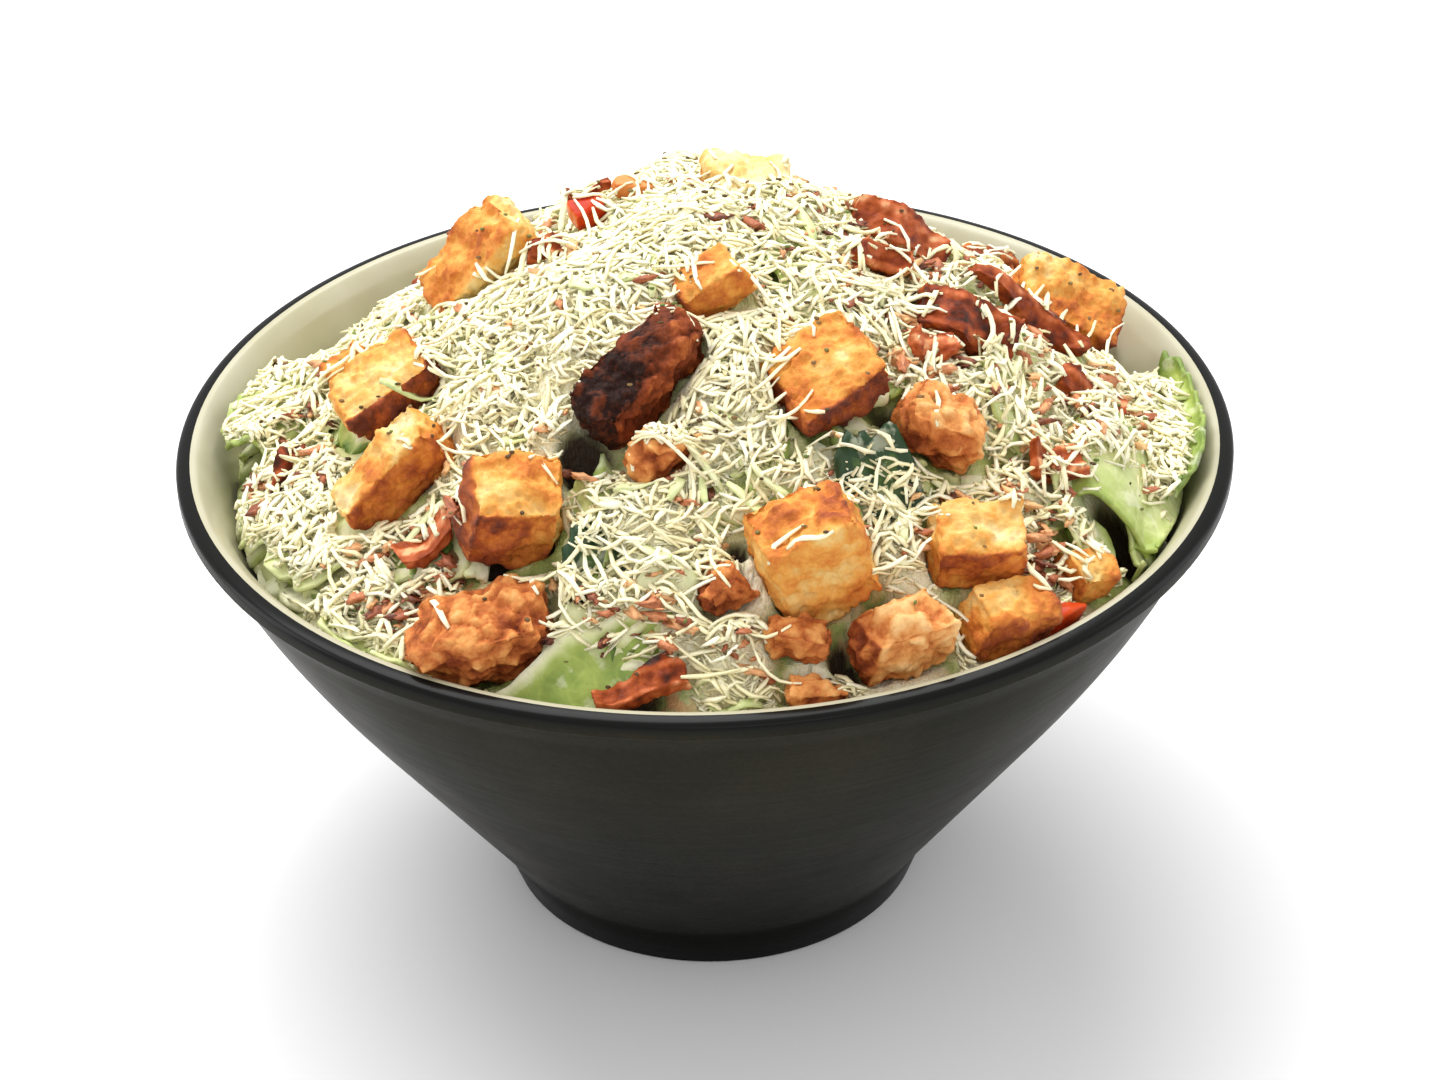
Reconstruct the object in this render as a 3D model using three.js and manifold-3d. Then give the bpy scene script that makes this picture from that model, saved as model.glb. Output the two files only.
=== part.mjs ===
// Chicken caesar salad in its bowl.
//
// A dark stoneware bowl on a narrow foot, heaped with dressed romaine, croutons, crisp chicken,
// bacon, tomato and shredded hard cheese. Units are millimetres and +Z is up. The origin is the
// middle of the bowl's foot, on the table, and the side that is meant to be seen faces -Y.

import * as THREE from 'three';
import { mergeVertices } from 'three/addons/utils/BufferGeometryUtils.js';
import { ImprovedNoise } from 'three/addons/math/ImprovedNoise.js';
import Module from 'manifold-3d';

const wasm = await Module();
wasm.setup();

// Driving dimensions of the bowl
const RIM_RADIUS = 100;
const BOWL_HEIGHT = 98.4;
const WALL = 4.4; // measured level, from the outside of the wall to the inside
const BEAD_HEIGHT = 3.6;
const BEAD_REACH = 0.8; // how far the rim's bead stands out over the wall below it
const SHOULDER_RADIUS = 88.3; // the wall turns a little steeper from here up
const SHOULDER_HEIGHT = 72.7;
const KNEE_RADIUS = 44.4; // the foot meets the wall here
const KNEE_HEIGHT = 10.1;
const FOOT_RADIUS = 41;
const FOOT_LAND = 4.5; // width of the ring that stands on the table
const FOOT_RECESS = 1.4;
const FLOOR_HEIGHT = 8.5; // inside
const FLOOR_RADIUS = 33;
const BOWL_SIDES = 48;

// Driving dimensions of the salad
const HEAP_TOP = 143;
const HEAP_RADIUS = 91;
const EDGE_HEIGHT = 90.5; // where the salad meets the wall, halfway round
const EDGE_FALL = 5; // the edge is this much higher in front and lower at the back
const LEFT_FALL = 0.16; // the left flank lies lower by this share
const CORE_DEPTH = 3; // the pieces that show are laid on a core this far below the surface
const BUMP_HEIGHT = 1.6;
const BUMP_LENGTH = 13;
const HEAP_SIDES = 30;
const HEAP_RINGS = 6;
const GAP = 0.35; // clear space kept between touching pieces
const TOUCH = 0.01; // cubic millimetres
const LEAF_THICKNESS = 1.1;
const SHRED_WIDTH = 1.9;
const SHRED_THICKNESS = 1;
const SHRED_COUNT = 20;
const CHEESE_RADIUS = 84;
const CHEESE_GATHER = 0.62; // 0.5 spreads the shreds evenly, more gathers them in the middle
const SMALL_CHUNK = 12.5; // chunks up to this size have fewer sides
const CRAG_GRAIN = 2.2; // crags to a chunk

const COLOURS = {
  stoneware: { color: 0x3a3b3a, roughness: 0.42, metalness: 0 },
  salad: { color: 0xdde2b4, roughness: 0.6, metalness: 0 },
  crouton: { color: 0xd99242, roughness: 0.8, metalness: 0 },
  chicken: { color: 0xb06a35, roughness: 0.7, metalness: 0 },
  bacon: { color: 0x9c4a35, roughness: 0.5, metalness: 0 },
  tomato: { color: 0xd5432a, roughness: 0.35, metalness: 0 },
};

const noise = new ImprovedNoise();
const radians = THREE.MathUtils.degToRad;
const lerp = THREE.MathUtils.lerp;

function randomFrom(seed) {
  let state = seed;
  return () => {
    state = (state + 0x6d2b79f5) | 0;
    let t = Math.imul(state ^ (state >>> 15), 1 | state);
    t = (t + Math.imul(t ^ (t >>> 7), 61 | t)) ^ t;
    return ((t ^ (t >>> 14)) >>> 0) / 4294967296;
  };
}

// ---- Solids ----

function closedGeometry(geometry) {
  geometry.deleteAttribute('normal');
  geometry.deleteAttribute('uv');
  return mergeVertices(geometry, 1e-4);
}

function solidOf(geometry, matrix = new THREE.Matrix4()) {
  const placed = geometry.clone().applyMatrix4(matrix);
  const vertProperties = new Float32Array(placed.attributes.position.array);
  const triVerts = new Uint32Array(placed.index.array);
  return new wasm.Manifold(new wasm.Mesh({ numProp: 3, vertProperties, triVerts }));
}

function geometryOf(solid) {
  const mesh = solid.getMesh();
  const geometry = new THREE.BufferGeometry();
  geometry.setAttribute('position', new THREE.BufferAttribute(new Float32Array(mesh.vertProperties), 3));
  geometry.setIndex(new THREE.BufferAttribute(new Uint32Array(mesh.triVerts), 1));
  return geometry;
}

function largestPiece(solid) {
  const pieces = solid.decompose();
  return pieces.reduce((best, piece) => (piece.volume() > best.volume() ? piece : best));
}

function moveVertices(geometry, move) {
  const position = geometry.attributes.position;
  const point = new THREE.Vector3();
  for (let i = 0; i < position.count; i++) {
    point.fromBufferAttribute(position, i);
    move(point);
    position.setXYZ(i, point.x, point.y, point.z);
  }
  return geometry;
}

// A closed sheet on a grid of columns x rows. place(u, v, side) gives a point for u and v from -1
// to 1 on the upper face (side 1) or the lower one (side -1), and both are split alike.
function sheetGeometry(columns, rows, place) {
  const points = [];
  const index = [];
  const across = columns + 1;
  const face = across * (rows + 1);
  for (const side of [1, -1]) {
    for (let r = 0; r <= rows; r++) {
      for (let c = 0; c <= columns; c++) {
        points.push(...place((2 * c) / columns - 1, (2 * r) / rows - 1, side).toArray());
      }
    }
  }
  for (let r = 0; r < rows; r++) {
    for (let c = 0; c < columns; c++) {
      const a = r * across + c;
      const b = a + 1;
      const d = a + across;
      const e = d + 1;
      index.push(a, b, e, a, e, d);
      index.push(face + a, face + e, face + b, face + a, face + d, face + e);
    }
  }
  const joinSides = (a, b) => index.push(a, face + a, face + b, a, face + b, b);
  for (let c = 0; c < columns; c++) {
    joinSides(c, c + 1);
    joinSides(rows * across + c + 1, rows * across + c);
  }
  for (let r = 0; r < rows; r++) {
    joinSides((r + 1) * across, r * across);
    joinSides(r * across + columns, (r + 1) * across + columns);
  }
  const geometry = new THREE.BufferGeometry();
  geometry.setAttribute('position', new THREE.BufferAttribute(new Float32Array(points), 3));
  geometry.setIndex(index);
  return geometry;
}

// ---- Bowl ----

// Outside radius of the wall at a height above the foot.
function outsideRadius(z) {
  if (z < SHOULDER_HEIGHT) {
    const t = (z - KNEE_HEIGHT) / (SHOULDER_HEIGHT - KNEE_HEIGHT);
    return lerp(KNEE_RADIUS, SHOULDER_RADIUS, t);
  }
  const t = (z - SHOULDER_HEIGHT) / (BOWL_HEIGHT - SHOULDER_HEIGHT);
  return lerp(SHOULDER_RADIUS, RIM_RADIUS - BEAD_REACH, t);
}

function insideRadius(z) {
  return outsideRadius(z) - WALL;
}

function bowlGeometry() {
  const beadBase = BOWL_HEIGHT - BEAD_HEIGHT;
  const beadMiddle = RIM_RADIUS - WALL / 2;
  const innerKnee = FLOOR_HEIGHT + 6;
  const section = new THREE.Path();
  section.moveTo(0, FOOT_RECESS);
  section.lineTo(FOOT_RADIUS - FOOT_LAND - FOOT_RECESS, FOOT_RECESS);
  section.lineTo(FOOT_RADIUS - FOOT_LAND, 0);
  section.lineTo(FOOT_RADIUS, 0);
  section.lineTo(KNEE_RADIUS - 0.5, KNEE_HEIGHT - 1.5);
  section.lineTo(KNEE_RADIUS + 0.8, KNEE_HEIGHT + 1);
  section.lineTo(SHOULDER_RADIUS, SHOULDER_HEIGHT);
  section.lineTo(outsideRadius(beadBase - 1), beadBase - 1);
  section.lineTo(RIM_RADIUS, beadBase);
  section.quadraticCurveTo(RIM_RADIUS, BOWL_HEIGHT, beadMiddle, BOWL_HEIGHT);
  section.quadraticCurveTo(RIM_RADIUS - WALL, BOWL_HEIGHT, insideRadius(beadBase), beadBase);
  section.lineTo(insideRadius(SHOULDER_HEIGHT), SHOULDER_HEIGHT);
  section.lineTo(insideRadius(innerKnee), innerKnee);
  section.quadraticCurveTo(FLOOR_RADIUS + 3, FLOOR_HEIGHT, FLOOR_RADIUS - 4, FLOOR_HEIGHT);
  section.lineTo(0, FLOOR_HEIGHT);
  return upright(new THREE.LatheGeometry(section.getPoints(3), BOWL_SIDES));
}

// A lathe turns about Y. This stands it up along Z and closes its seam.
function upright(lathe) {
  lathe.rotateX(Math.PI / 2);
  return closedGeometry(lathe);
}

// ---- Heap ----

// Height of the surface that the eye sees, before any leaf or topping.
function heapSurface(x, y) {
  const r = Math.min(Math.hypot(x, y) / HEAP_RADIUS, 1);
  const edge = EDGE_HEIGHT - (EDGE_FALL * y) / HEAP_RADIUS;
  const fall = x < 0 ? (LEFT_FALL * x) / HEAP_RADIUS : 0;
  return edge + (HEAP_TOP - edge) * (1 - r * r) * (1 + fall);
}

function coreSurface(x, y) {
  const bump = noise.noise(x / BUMP_LENGTH, y / BUMP_LENGTH, 3.7);
  return heapSurface(x, y) - CORE_DEPTH + 2 * BUMP_HEIGHT * bump;
}

// The core fills the bowl from its floor and ends in the bumpy top.
function coreGeometry() {
  const section = [new THREE.Vector2(0, FLOOR_HEIGHT + GAP)];
  section.push(new THREE.Vector2(FLOOR_RADIUS - 6, FLOOR_HEIGHT + GAP));
  section.push(new THREE.Vector2(insideRadius(FLOOR_HEIGHT + 12) - 1, FLOOR_HEIGHT + 12));
  section.push(new THREE.Vector2(insideRadius(SHOULDER_HEIGHT) - 2 * GAP, SHOULDER_HEIGHT));
  for (let ring = HEAP_RINGS; ring >= 0; ring--) {
    section.push(new THREE.Vector2((HEAP_RADIUS * ring) / HEAP_RINGS, HEAP_TOP));
  }
  const geometry = upright(new THREE.LatheGeometry(section, HEAP_SIDES));
  return moveVertices(geometry, (p) => {
    if (p.z < HEAP_TOP - 1) {
      return;
    }
    const r = Math.hypot(p.x, p.y);
    p.z = coreSurface(p.x, p.y);
    if (r > HEAP_RADIUS - 1) {
      const wall = insideRadius(p.z) - 3 * GAP;
      p.x *= wall / r;
      p.y *= wall / r;
    }
  });
}

// The space that the salad may take: inside the wall, and over the rim without reaching past it.
function roomGeometry() {
  const top = HEAP_TOP + 40;
  const section = [new THREE.Vector2(0, FLOOR_HEIGHT + GAP / 2)];
  section.push(new THREE.Vector2(FLOOR_RADIUS - 5, FLOOR_HEIGHT + GAP / 2));
  section.push(new THREE.Vector2(insideRadius(FLOOR_HEIGHT + 12) - 2 * GAP, FLOOR_HEIGHT + 12));
  section.push(new THREE.Vector2(insideRadius(SHOULDER_HEIGHT) - GAP, SHOULDER_HEIGHT));
  section.push(new THREE.Vector2(insideRadius(BOWL_HEIGHT) - 2 * GAP, BOWL_HEIGHT + GAP));
  section.push(new THREE.Vector2(RIM_RADIUS - 2, BOWL_HEIGHT + 2));
  section.push(new THREE.Vector2(RIM_RADIUS - 2, top));
  section.push(new THREE.Vector2(0, top));
  return upright(new THREE.LatheGeometry(section, BOWL_SIDES));
}

// A torn piece of romaine that lies on the heap like a shingle. heading turns its length from +X.
// The edge to the right of the heading is tucked in by sink and the other one stands up by rise.
// bend rolls both long edges up, or down where negative, and ruffle waves them.
function leafGeometry(leaf) {
  const { x, y, length, width, heading, seed } = leaf;
  const { sink = 3.5, rise = 2.5, bend = 0, ruffle = 1.2, lift = 0 } = leaf;
  const cos = Math.cos(radians(heading));
  const sin = Math.sin(radians(heading));
  const halfBend = radians(Math.abs(bend) + 1) / 2;
  const roll = width / 2 / halfBend;
  const way = Math.sign(bend);
  const place = (u, v, side) => {
    const taper = 1 - 0.4 * u * u + 0.3 * noise.noise(2.3 * u, seed, 0.5);
    const angle = v * halfBend * taper;
    const radius = roll - (way * side * LEAF_THICKNESS) / 2;
    const along = (u * length) / 2;
    const across = radius * Math.sin(angle);
    const px = x + along * cos - across * sin;
    const py = y + along * sin + across * cos;
    const arch = way * (roll - radius * Math.cos(angle));
    const flat = way === 0 ? (side * LEAF_THICKNESS) / 2 : 0;
    const wave = ruffle * (0.3 + 0.7 * Math.abs(v)) * Math.sin(5.2 * u + 1.8 * v + seed);
    const tuck = lerp(-sink, rise, (v + 1) / 2);
    return new THREE.Vector3(px, py, heapSurface(px, py) + lift + tuck + arch + flat + wave);
  };
  return sheetGeometry(5, 3, place);
}

// Places and sizes of the romaine that shows, in millimetres and degrees.
const ARCHED = { sink: 0, rise: 1, bend: -180, ruffle: 0.6 };
const LEAVES = [
  { x: -21, y: -83, length: 40, width: 15, heading: 14, rise: 1.5, bend: 50, ruffle: 0.6, seed: 1 },
  { ...ARCHED, x: 73, y: -41, length: 32, width: 22, heading: 78, lift: 4, seed: 2 },
  { ...ARCHED, x: 83, y: -33, length: 28, width: 18, heading: 84, lift: 3, seed: 3 },
  { x: 86, y: 2, length: 46, width: 18, heading: 264, sink: 4, rise: 10, seed: 4 },
  { x: 63, y: -24, length: 32, width: 24, heading: 60, seed: 5 },
  { x: -81, y: 8, length: 38, width: 20, heading: 84, rise: 8, ruffle: 1.6, seed: 6 },
  { x: -72, y: -34, length: 40, width: 22, heading: 115, rise: 3.5, ruffle: 1.6, seed: 7 },
  { x: -56, y: -67, length: 28, width: 15, heading: 140, rise: 2.5, seed: 8 },
  { x: -8, y: -78, length: 24, width: 16, heading: 50, seed: 9 },
  { x: 30, y: -56, length: 17, width: 13, heading: 20, bend: 70, seed: 10 },
  { x: -19, y: -71, length: 16, width: 13, heading: 65, bend: 60, seed: 11 },
  { x: 26, y: 2, length: 32, width: 20, heading: 30, seed: 12 },
  { x: -3, y: 50, length: 36, width: 26, heading: 172, lift: -1.2, rise: 2.5, ruffle: 1.6, seed: 13 },
  { x: -58, y: 50, length: 38, width: 22, heading: 225, lift: -2, rise: 2, ruffle: 1.4, seed: 14 },
  { x: 60, y: 50, length: 36, width: 20, heading: 132, lift: -2, rise: 2, ruffle: 1.4, seed: 15 },
];

// A strip of grated cheese: it bows to one side, arches over the core and has both ends in it.
function shredGeometry(x, y, heading, length, bow, arch) {
  const place = (u, v, side) => {
    const along = (u * length) / 2;
    const across = (v * SHRED_WIDTH) / 2 + bow * u * u;
    const px = x + along * Math.cos(heading) - across * Math.sin(heading);
    const py = y + along * Math.sin(heading) + across * Math.cos(heading);
    const pz = coreSurface(px, py) + (side * SHRED_THICKNESS) / 2 + arch * (1 - 2 * u * u);
    return new THREE.Vector3(px, py, pz);
  };
  return sheetGeometry(2, 1, place);
}

// Cheese falls thickest over the middle, and each shred's own middle is clear of every topping.
function shredSolids(toppings) {
  const random = randomFrom(41);
  const solids = [];
  while (solids.length < SHRED_COUNT) {
    const angle = 2 * Math.PI * random();
    const r = CHEESE_RADIUS * Math.pow(random(), CHEESE_GATHER);
    const x = r * Math.cos(angle);
    const y = r * Math.sin(angle);
    const heading = Math.PI * random();
    const length = lerp(11, 22, random());
    const bow = lerp(-2.5, 2.5, random());
    const arch = lerp(1.6, 2.8, random());
    const clear = toppings.every(({ position, userData }) => {
      return Math.hypot(position.x - x, position.y - y) > userData.reach + length / 4;
    });
    if (clear) {
      solids.push(solidOf(shredGeometry(x, y, heading, length, bow, arch)));
    }
  }
  return solids;
}

// ---- Toppings ----

// An uneven chunk: a box whose corners are pushed about, rounded, then roughened.
function chunkGeometry({ size, seed, grow = 0, segments, round = 0.3, skew = 0.1, crags = 0.06 }) {
  const sides = segments ?? (Math.max(...size) > SMALL_CHUNK ? 3 : 2);
  const random = randomFrom(seed);
  const corners = Array.from({ length: 8 }, () => [random() - 0.5, random() - 0.5, random() - 0.5]);
  const half = size.map((s) => s / 2);
  const box = closedGeometry(new THREE.BoxGeometry(2, 2, 2, sides, sides, sides));
  return moveVertices(box, (p) => {
    const push = [0, 0, 0];
    corners.forEach((corner, i) => {
      const sx = i & 1 ? 1 : -1;
      const sy = i & 2 ? 1 : -1;
      const sz = i & 4 ? 1 : -1;
      const weight = ((1 + sx * p.x) * (1 + sy * p.y) * (1 + sz * p.z)) / 8;
      corner.forEach((c, axis) => {
        push[axis] += 2 * c * weight;
      });
    });
    const largest = Math.max(Math.abs(p.x), Math.abs(p.y), Math.abs(p.z));
    const pull = lerp(1, (1.12 * largest) / p.length(), round);
    const rough = 1 + crags * noise.noise(CRAG_GRAIN * p.x + seed, CRAG_GRAIN * p.y, CRAG_GRAIN * p.z);
    p.set(
      (p.x * pull * rough + skew * push[0]) * (half[0] + grow),
      (p.y * pull * rough + skew * push[1]) * (half[1] + grow),
      (p.z * pull * rough + skew * push[2]) * (half[2] + grow),
    );
  });
}

// A rasher cut across: a thin bar, wavy along its length.
function rasherGeometry({ size, seed, grow = 0 }) {
  const [length, width, thickness] = size;
  const box = closedGeometry(new THREE.BoxGeometry(2, 2, 2, 5, 1, 1));
  return moveVertices(box, (p) => {
    const taper = 1 - 0.2 * p.x * p.x;
    const edge = 1 + 0.25 * noise.noise(2.1 * p.x, 2 * p.y, seed);
    const wave = 0.55 * thickness * Math.sin(3.4 * p.x + seed);
    const twist = 0.35 * thickness * p.y * Math.sin(2.2 * p.x + 2 * seed);
    p.set(
      p.x * (length / 2 + grow),
      p.y * (width / 2 + grow) * taper * edge,
      p.z * (thickness / 2 + grow) * edge + wave + twist,
    );
  });
}

const croutonShape = (spec) => chunkGeometry({ round: 0.3, skew: 0.13, crags: 0.07, ...spec });
const chickenShape = (spec) => chunkGeometry({ round: 0.6, skew: 0.16, crags: 0.2, ...spec });
const tomatoShape = (spec) => chunkGeometry({ round: 0.55, skew: 0.14, crags: 0.05, ...spec });

// x, y: where the piece lies. lift: its middle above the heap. turn: tilt towards the front, lean to
// the right, and heading, in degrees.
const TOPPINGS = [
  { kind: 'crouton', x: 9, y: 23, lift: -3.5, size: [16, 13, 11], turn: [10, 8, 18] },
  { kind: 'crouton', x: -42, y: 9, lift: 0.6, size: [24, 14, 10], turn: [30, -44, 8] },
  { kind: 'crouton', x: -58, y: -19, lift: 1.5, size: [19, 14, 11], turn: [20, -22, 18] },
  { kind: 'crouton', x: -55, y: -41, lift: 1.5, size: [23, 11, 11], turn: [22, -40, 10] },
  { kind: 'crouton', x: -34, y: -59, lift: 1.5, size: [18, 16, 17], turn: [20, 14, 12] },
  { kind: 'crouton', x: 2, y: -23, lift: 0, size: [14, 10, 8], turn: [12, -30, 10] },
  { kind: 'crouton', x: 22, y: -41, lift: 1, size: [18, 18, 8], turn: [24, -14, 24] },
  { kind: 'crouton', x: 18, y: -71.5, lift: 2.4, size: [18, 15, 22], turn: [12, -18, 12] },
  { kind: 'crouton', x: 47, y: -62, lift: 2, size: [18, 14, 11], turn: [24, 8, 10] },
  { kind: 'crouton', x: 51.5, y: -71.5, lift: 1.5, size: [15, 11, 12], turn: [20, 16, 22] },
  { kind: 'crouton', x: 71, y: 24, lift: 1, size: [22, 16, 12], turn: [24, 32, 4] },
  { kind: 'crouton', x: 67, y: -57, lift: 1.5, size: [9.5, 9, 9], turn: [20, 20, 30] },
  { kind: 'crouton', x: -31, y: 73, lift: -1, size: [17, 14, 12], turn: [-22, -10, 25] },
  { kind: 'crouton', x: 30, y: 74, lift: -1, size: [18, 15, 11], turn: [-20, 14, -20] },
  { kind: 'crouton', x: -66, y: 4.5, lift: -2.5, size: [10, 8, 7], turn: [20, -24, 30] },
  { kind: 'chicken', x: -11.5, y: -42, lift: 1.5, size: [27, 13, 14], turn: [28, -10, 46], segments: 4 },
  { kind: 'chicken', x: -40, y: -76, lift: 1, size: [25, 16, 17], turn: [24, -8, 6], segments: 4 },
  { kind: 'chicken', x: 42, y: -43, lift: 0.5, size: [18, 13, 12], turn: [16, 26, 0] },
  { kind: 'chicken', x: 33, y: -79, lift: 0.5, size: [18, 12, 14], turn: [22, 4, 20] },
  { kind: 'chicken', x: -8, y: -55, lift: 0, size: [11, 9, 9], turn: [10, 10, 40] },
  { kind: 'chicken', x: 15, y: -82, lift: 1, size: [12, 8, 8], turn: [20, 12, 0] },
  { kind: 'chicken', x: 18, y: -88, lift: -1.5, size: [12, 6, 7], turn: [20, 8, 0] },
  { kind: 'chicken', x: 2.5, y: -76, lift: 0, size: [10, 9, 9], turn: [15, -20, 30] },
  { kind: 'chicken', x: -2, y: 72, lift: -1, size: [22, 15, 13], turn: [-24, 0, 12] },
  { kind: 'chicken', x: 56, y: 56, lift: -1.5, size: [17, 13, 11], turn: [-18, 22, 30] },
  { kind: 'bacon', x: 38, y: 9, lift: 0, size: [21, 9, 3.4], turn: [38, 30, 0] },
  { kind: 'bacon', x: 48.5, y: -17, lift: 1.2, size: [20, 11, 3.6], turn: [34, 26, 0] },
  { kind: 'bacon', x: 61, y: 1, lift: 1, size: [28, 5, 3.2], turn: [26, 40, 0] },
  { kind: 'bacon', x: 71, y: -16, lift: 1.5, size: [15, 6, 3], turn: [30, 34, 0] },
  { kind: 'bacon', x: 62, y: -40, lift: 1.5, size: [12, 8, 3], turn: [24, 40, 30] },
  { kind: 'bacon', x: -48, y: -57, lift: 1, size: [14, 7, 3], turn: [20, -20, 20] },
  { kind: 'bacon', x: -12, y: -88, lift: 0.5, size: [17, 6, 3], turn: [20, -10, 10] },
  { kind: 'bacon', x: -77, y: -22, lift: 1.5, size: [14, 5, 3], turn: [20, 0, 80] },
  { kind: 'bacon', x: -27, y: -2, lift: 1, size: [9, 4.5, 3], turn: [20, 20, 10] },
  { kind: 'bacon', x: -50, y: 60, lift: 0.5, size: [18, 8, 3.2], turn: [-26, -20, 20] },
  { kind: 'bacon', x: 78, y: 34, lift: 1, size: [16, 7, 3], turn: [-10, 34, 60] },
  { kind: 'bacon', x: 33, y: -7, lift: 0.5, size: [12, 5, 3], turn: [30, 16, 0] },
  { kind: 'bacon', x: 41, y: -27, lift: 0.5, size: [9, 6, 3], turn: [26, 24, 20] },
  { kind: 'bacon', x: -21, y: 21.5, lift: 1.4, size: [10, 5, 2], turn: [-6, -12, 6] },
  { kind: 'tomato', x: -20.5, y: 9.5, lift: 0.9, size: [7.5, 6, 5.5], turn: [15, -10, 20] },
  { kind: 'tomato', x: -12, y: 20, lift: 0, size: [8.5, 5, 4.2], turn: [10, 8, 0] },
  { kind: 'tomato', x: 62.5, y: -67.5, lift: 1, size: [8, 6, 7], turn: [10, 10, 10] },
];

const SHAPES = {
  crouton: croutonShape,
  chicken: chickenShape,
  tomato: tomatoShape,
  bacon: rasherGeometry,
};

function toppingMeshes() {
  const counts = {};
  return TOPPINGS.map((spec, i) => {
    counts[spec.kind] = (counts[spec.kind] ?? 0) + 1;
    const seeded = { ...spec, seed: 7 * i + 3 };
    const mesh = named(`${spec.kind}_${counts[spec.kind]}`, SHAPES[spec.kind](seeded), spec.kind);
    const [tilt, lean, heading] = spec.turn.map(radians);
    mesh.position.set(spec.x, spec.y, heapSurface(spec.x, spec.y) + spec.lift);
    mesh.rotation.set(tilt, lean, heading, 'YXZ');
    mesh.updateMatrixWorld();
    mesh.userData.reach = spec.size[0] / 2 + 2;
    mesh.userData.swollen = solidOf(SHAPES[spec.kind]({ ...seeded, grow: GAP }), mesh.matrixWorld);
    return mesh;
  });
}

// Where two toppings touch, the later one gives way.
function fitToppings(meshes, room) {
  meshes.forEach((mesh, i) => {
    const before = meshes.slice(0, i).map((other) => other.userData.swollen);
    const own = solidOf(mesh.geometry, mesh.matrixWorld);
    const cut = largestPiece(own.intersect(room).subtract(wasm.Manifold.union(before)));
    if (own.volume() - cut.volume() > TOUCH) {
      mesh.geometry = geometryOf(cut).applyMatrix4(mesh.matrixWorld.clone().invert());
    }
  });
}

// ---- Assembly ----

function named(name, geometry, colour) {
  const mesh = new THREE.Mesh(geometry, new THREE.MeshStandardMaterial(COLOURS[colour]));
  mesh.name = name;
  return mesh;
}

function saladGeometry(toppings, room) {
  const leaves = LEAVES.map((leaf) => solidOf(leafGeometry(leaf)));
  const heap = wasm.Manifold.union([solidOf(coreGeometry()), ...leaves, ...shredSolids(toppings)]);
  const hollows = wasm.Manifold.union(toppings.map((mesh) => mesh.userData.swollen));
  return geometryOf(largestPiece(heap.subtract(hollows).intersect(room)));
}

const room = solidOf(roomGeometry());
const toppings = toppingMeshes();
fitToppings(toppings, room);

const group = new THREE.Group();
group.add(named('bowl', bowlGeometry(), 'stoneware'));
group.add(named('salad', saladGeometry(toppings, room), 'salad'));
group.add(...toppings);

export default group;
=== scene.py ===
# %% [markdown]
# # A chicken caesar salad in its bowl
# A salad looks real when no two bites are alike and everything lies on something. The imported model
# already holds the sizes: the bowl, the heap and each topping as plain closed solids, in metres, on the
# table, with the shown side towards -Y. This notebook keeps those places and gives every piece its
# finish. The order is the cook's own: the bowl, a bed of romaine, the toppings, and last the cheese and
# the pepper, which fall on whatever is there.

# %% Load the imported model
import math
from dataclasses import dataclass

import bmesh
import bpy
import numpy as np
from mathutils import Matrix, Vector, noise
from mathutils.bvhtree import BVHTree


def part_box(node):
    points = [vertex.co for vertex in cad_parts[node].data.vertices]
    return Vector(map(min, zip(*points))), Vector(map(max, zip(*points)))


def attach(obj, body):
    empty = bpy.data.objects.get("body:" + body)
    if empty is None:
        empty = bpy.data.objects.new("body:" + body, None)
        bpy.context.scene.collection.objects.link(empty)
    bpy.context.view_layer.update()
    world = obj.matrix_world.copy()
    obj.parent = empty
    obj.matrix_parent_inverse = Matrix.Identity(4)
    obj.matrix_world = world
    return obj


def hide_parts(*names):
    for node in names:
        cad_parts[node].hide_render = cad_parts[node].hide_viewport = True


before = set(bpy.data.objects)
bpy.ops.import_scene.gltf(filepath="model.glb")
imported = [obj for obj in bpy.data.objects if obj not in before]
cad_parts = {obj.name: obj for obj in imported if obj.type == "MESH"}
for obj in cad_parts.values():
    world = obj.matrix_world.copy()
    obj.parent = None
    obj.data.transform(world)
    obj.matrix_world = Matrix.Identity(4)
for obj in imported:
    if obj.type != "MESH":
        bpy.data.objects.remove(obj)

# Without a seed, noise vectors are shifted by the clock and no two runs would agree.
NOISE_SEED = 7
noise.seed_set(NOISE_SEED)

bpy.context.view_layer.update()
print("packed pieces:", len(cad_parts))

# %% [markdown]
# ## Working in millimetres
# Food is small, so the shapes below are made in millimetres and shrunk to metres once, when a piece is
# settled. Settling also gives the piece its finish, ties it to the body and hides the plain solid that
# it stands for. Doing this in one place keeps every object at the origin, unturned and unscaled, so
# that patterns on Object coordinates stay where they are.

# %% Settling a piece
MM = 0.001


def blend(low, high, share):
    """The value at share of the way from low to high."""
    return low + (high - low) * share


def fade(value, start, end):
    """0 at start and 1 at end, with a soft turn at both."""
    share = min(max((value - start) / (end - start), 0.0), 1.0)
    return share * share * (3 - 2 * share)


def place(mesh, name, finishes, nodes):
    """Puts a mesh in metres on the body, with its finishes, in place of the nodes."""
    for finish in finishes:
        mesh.materials.append(finish)
    mesh.shade_smooth()
    piece = bpy.data.objects.new(name, mesh)
    bpy.context.scene.collection.objects.link(piece)
    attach(piece, "root")
    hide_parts(*nodes)
    return piece


def settle(shape, name, finishes, nodes):
    """Turns a bmesh in millimetres into a piece in metres."""
    bmesh.ops.scale(shape, vec=(MM, MM, MM), verts=shape.verts)
    mesh = bpy.data.meshes.new(name)
    shape.to_mesh(mesh)
    shape.free()
    return place(mesh, name, finishes, nodes)


def triangles(piece):
    """How many triangles a piece has."""
    return sum(len(face.vertices) - 2 for face in piece.data.polygons)


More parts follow.
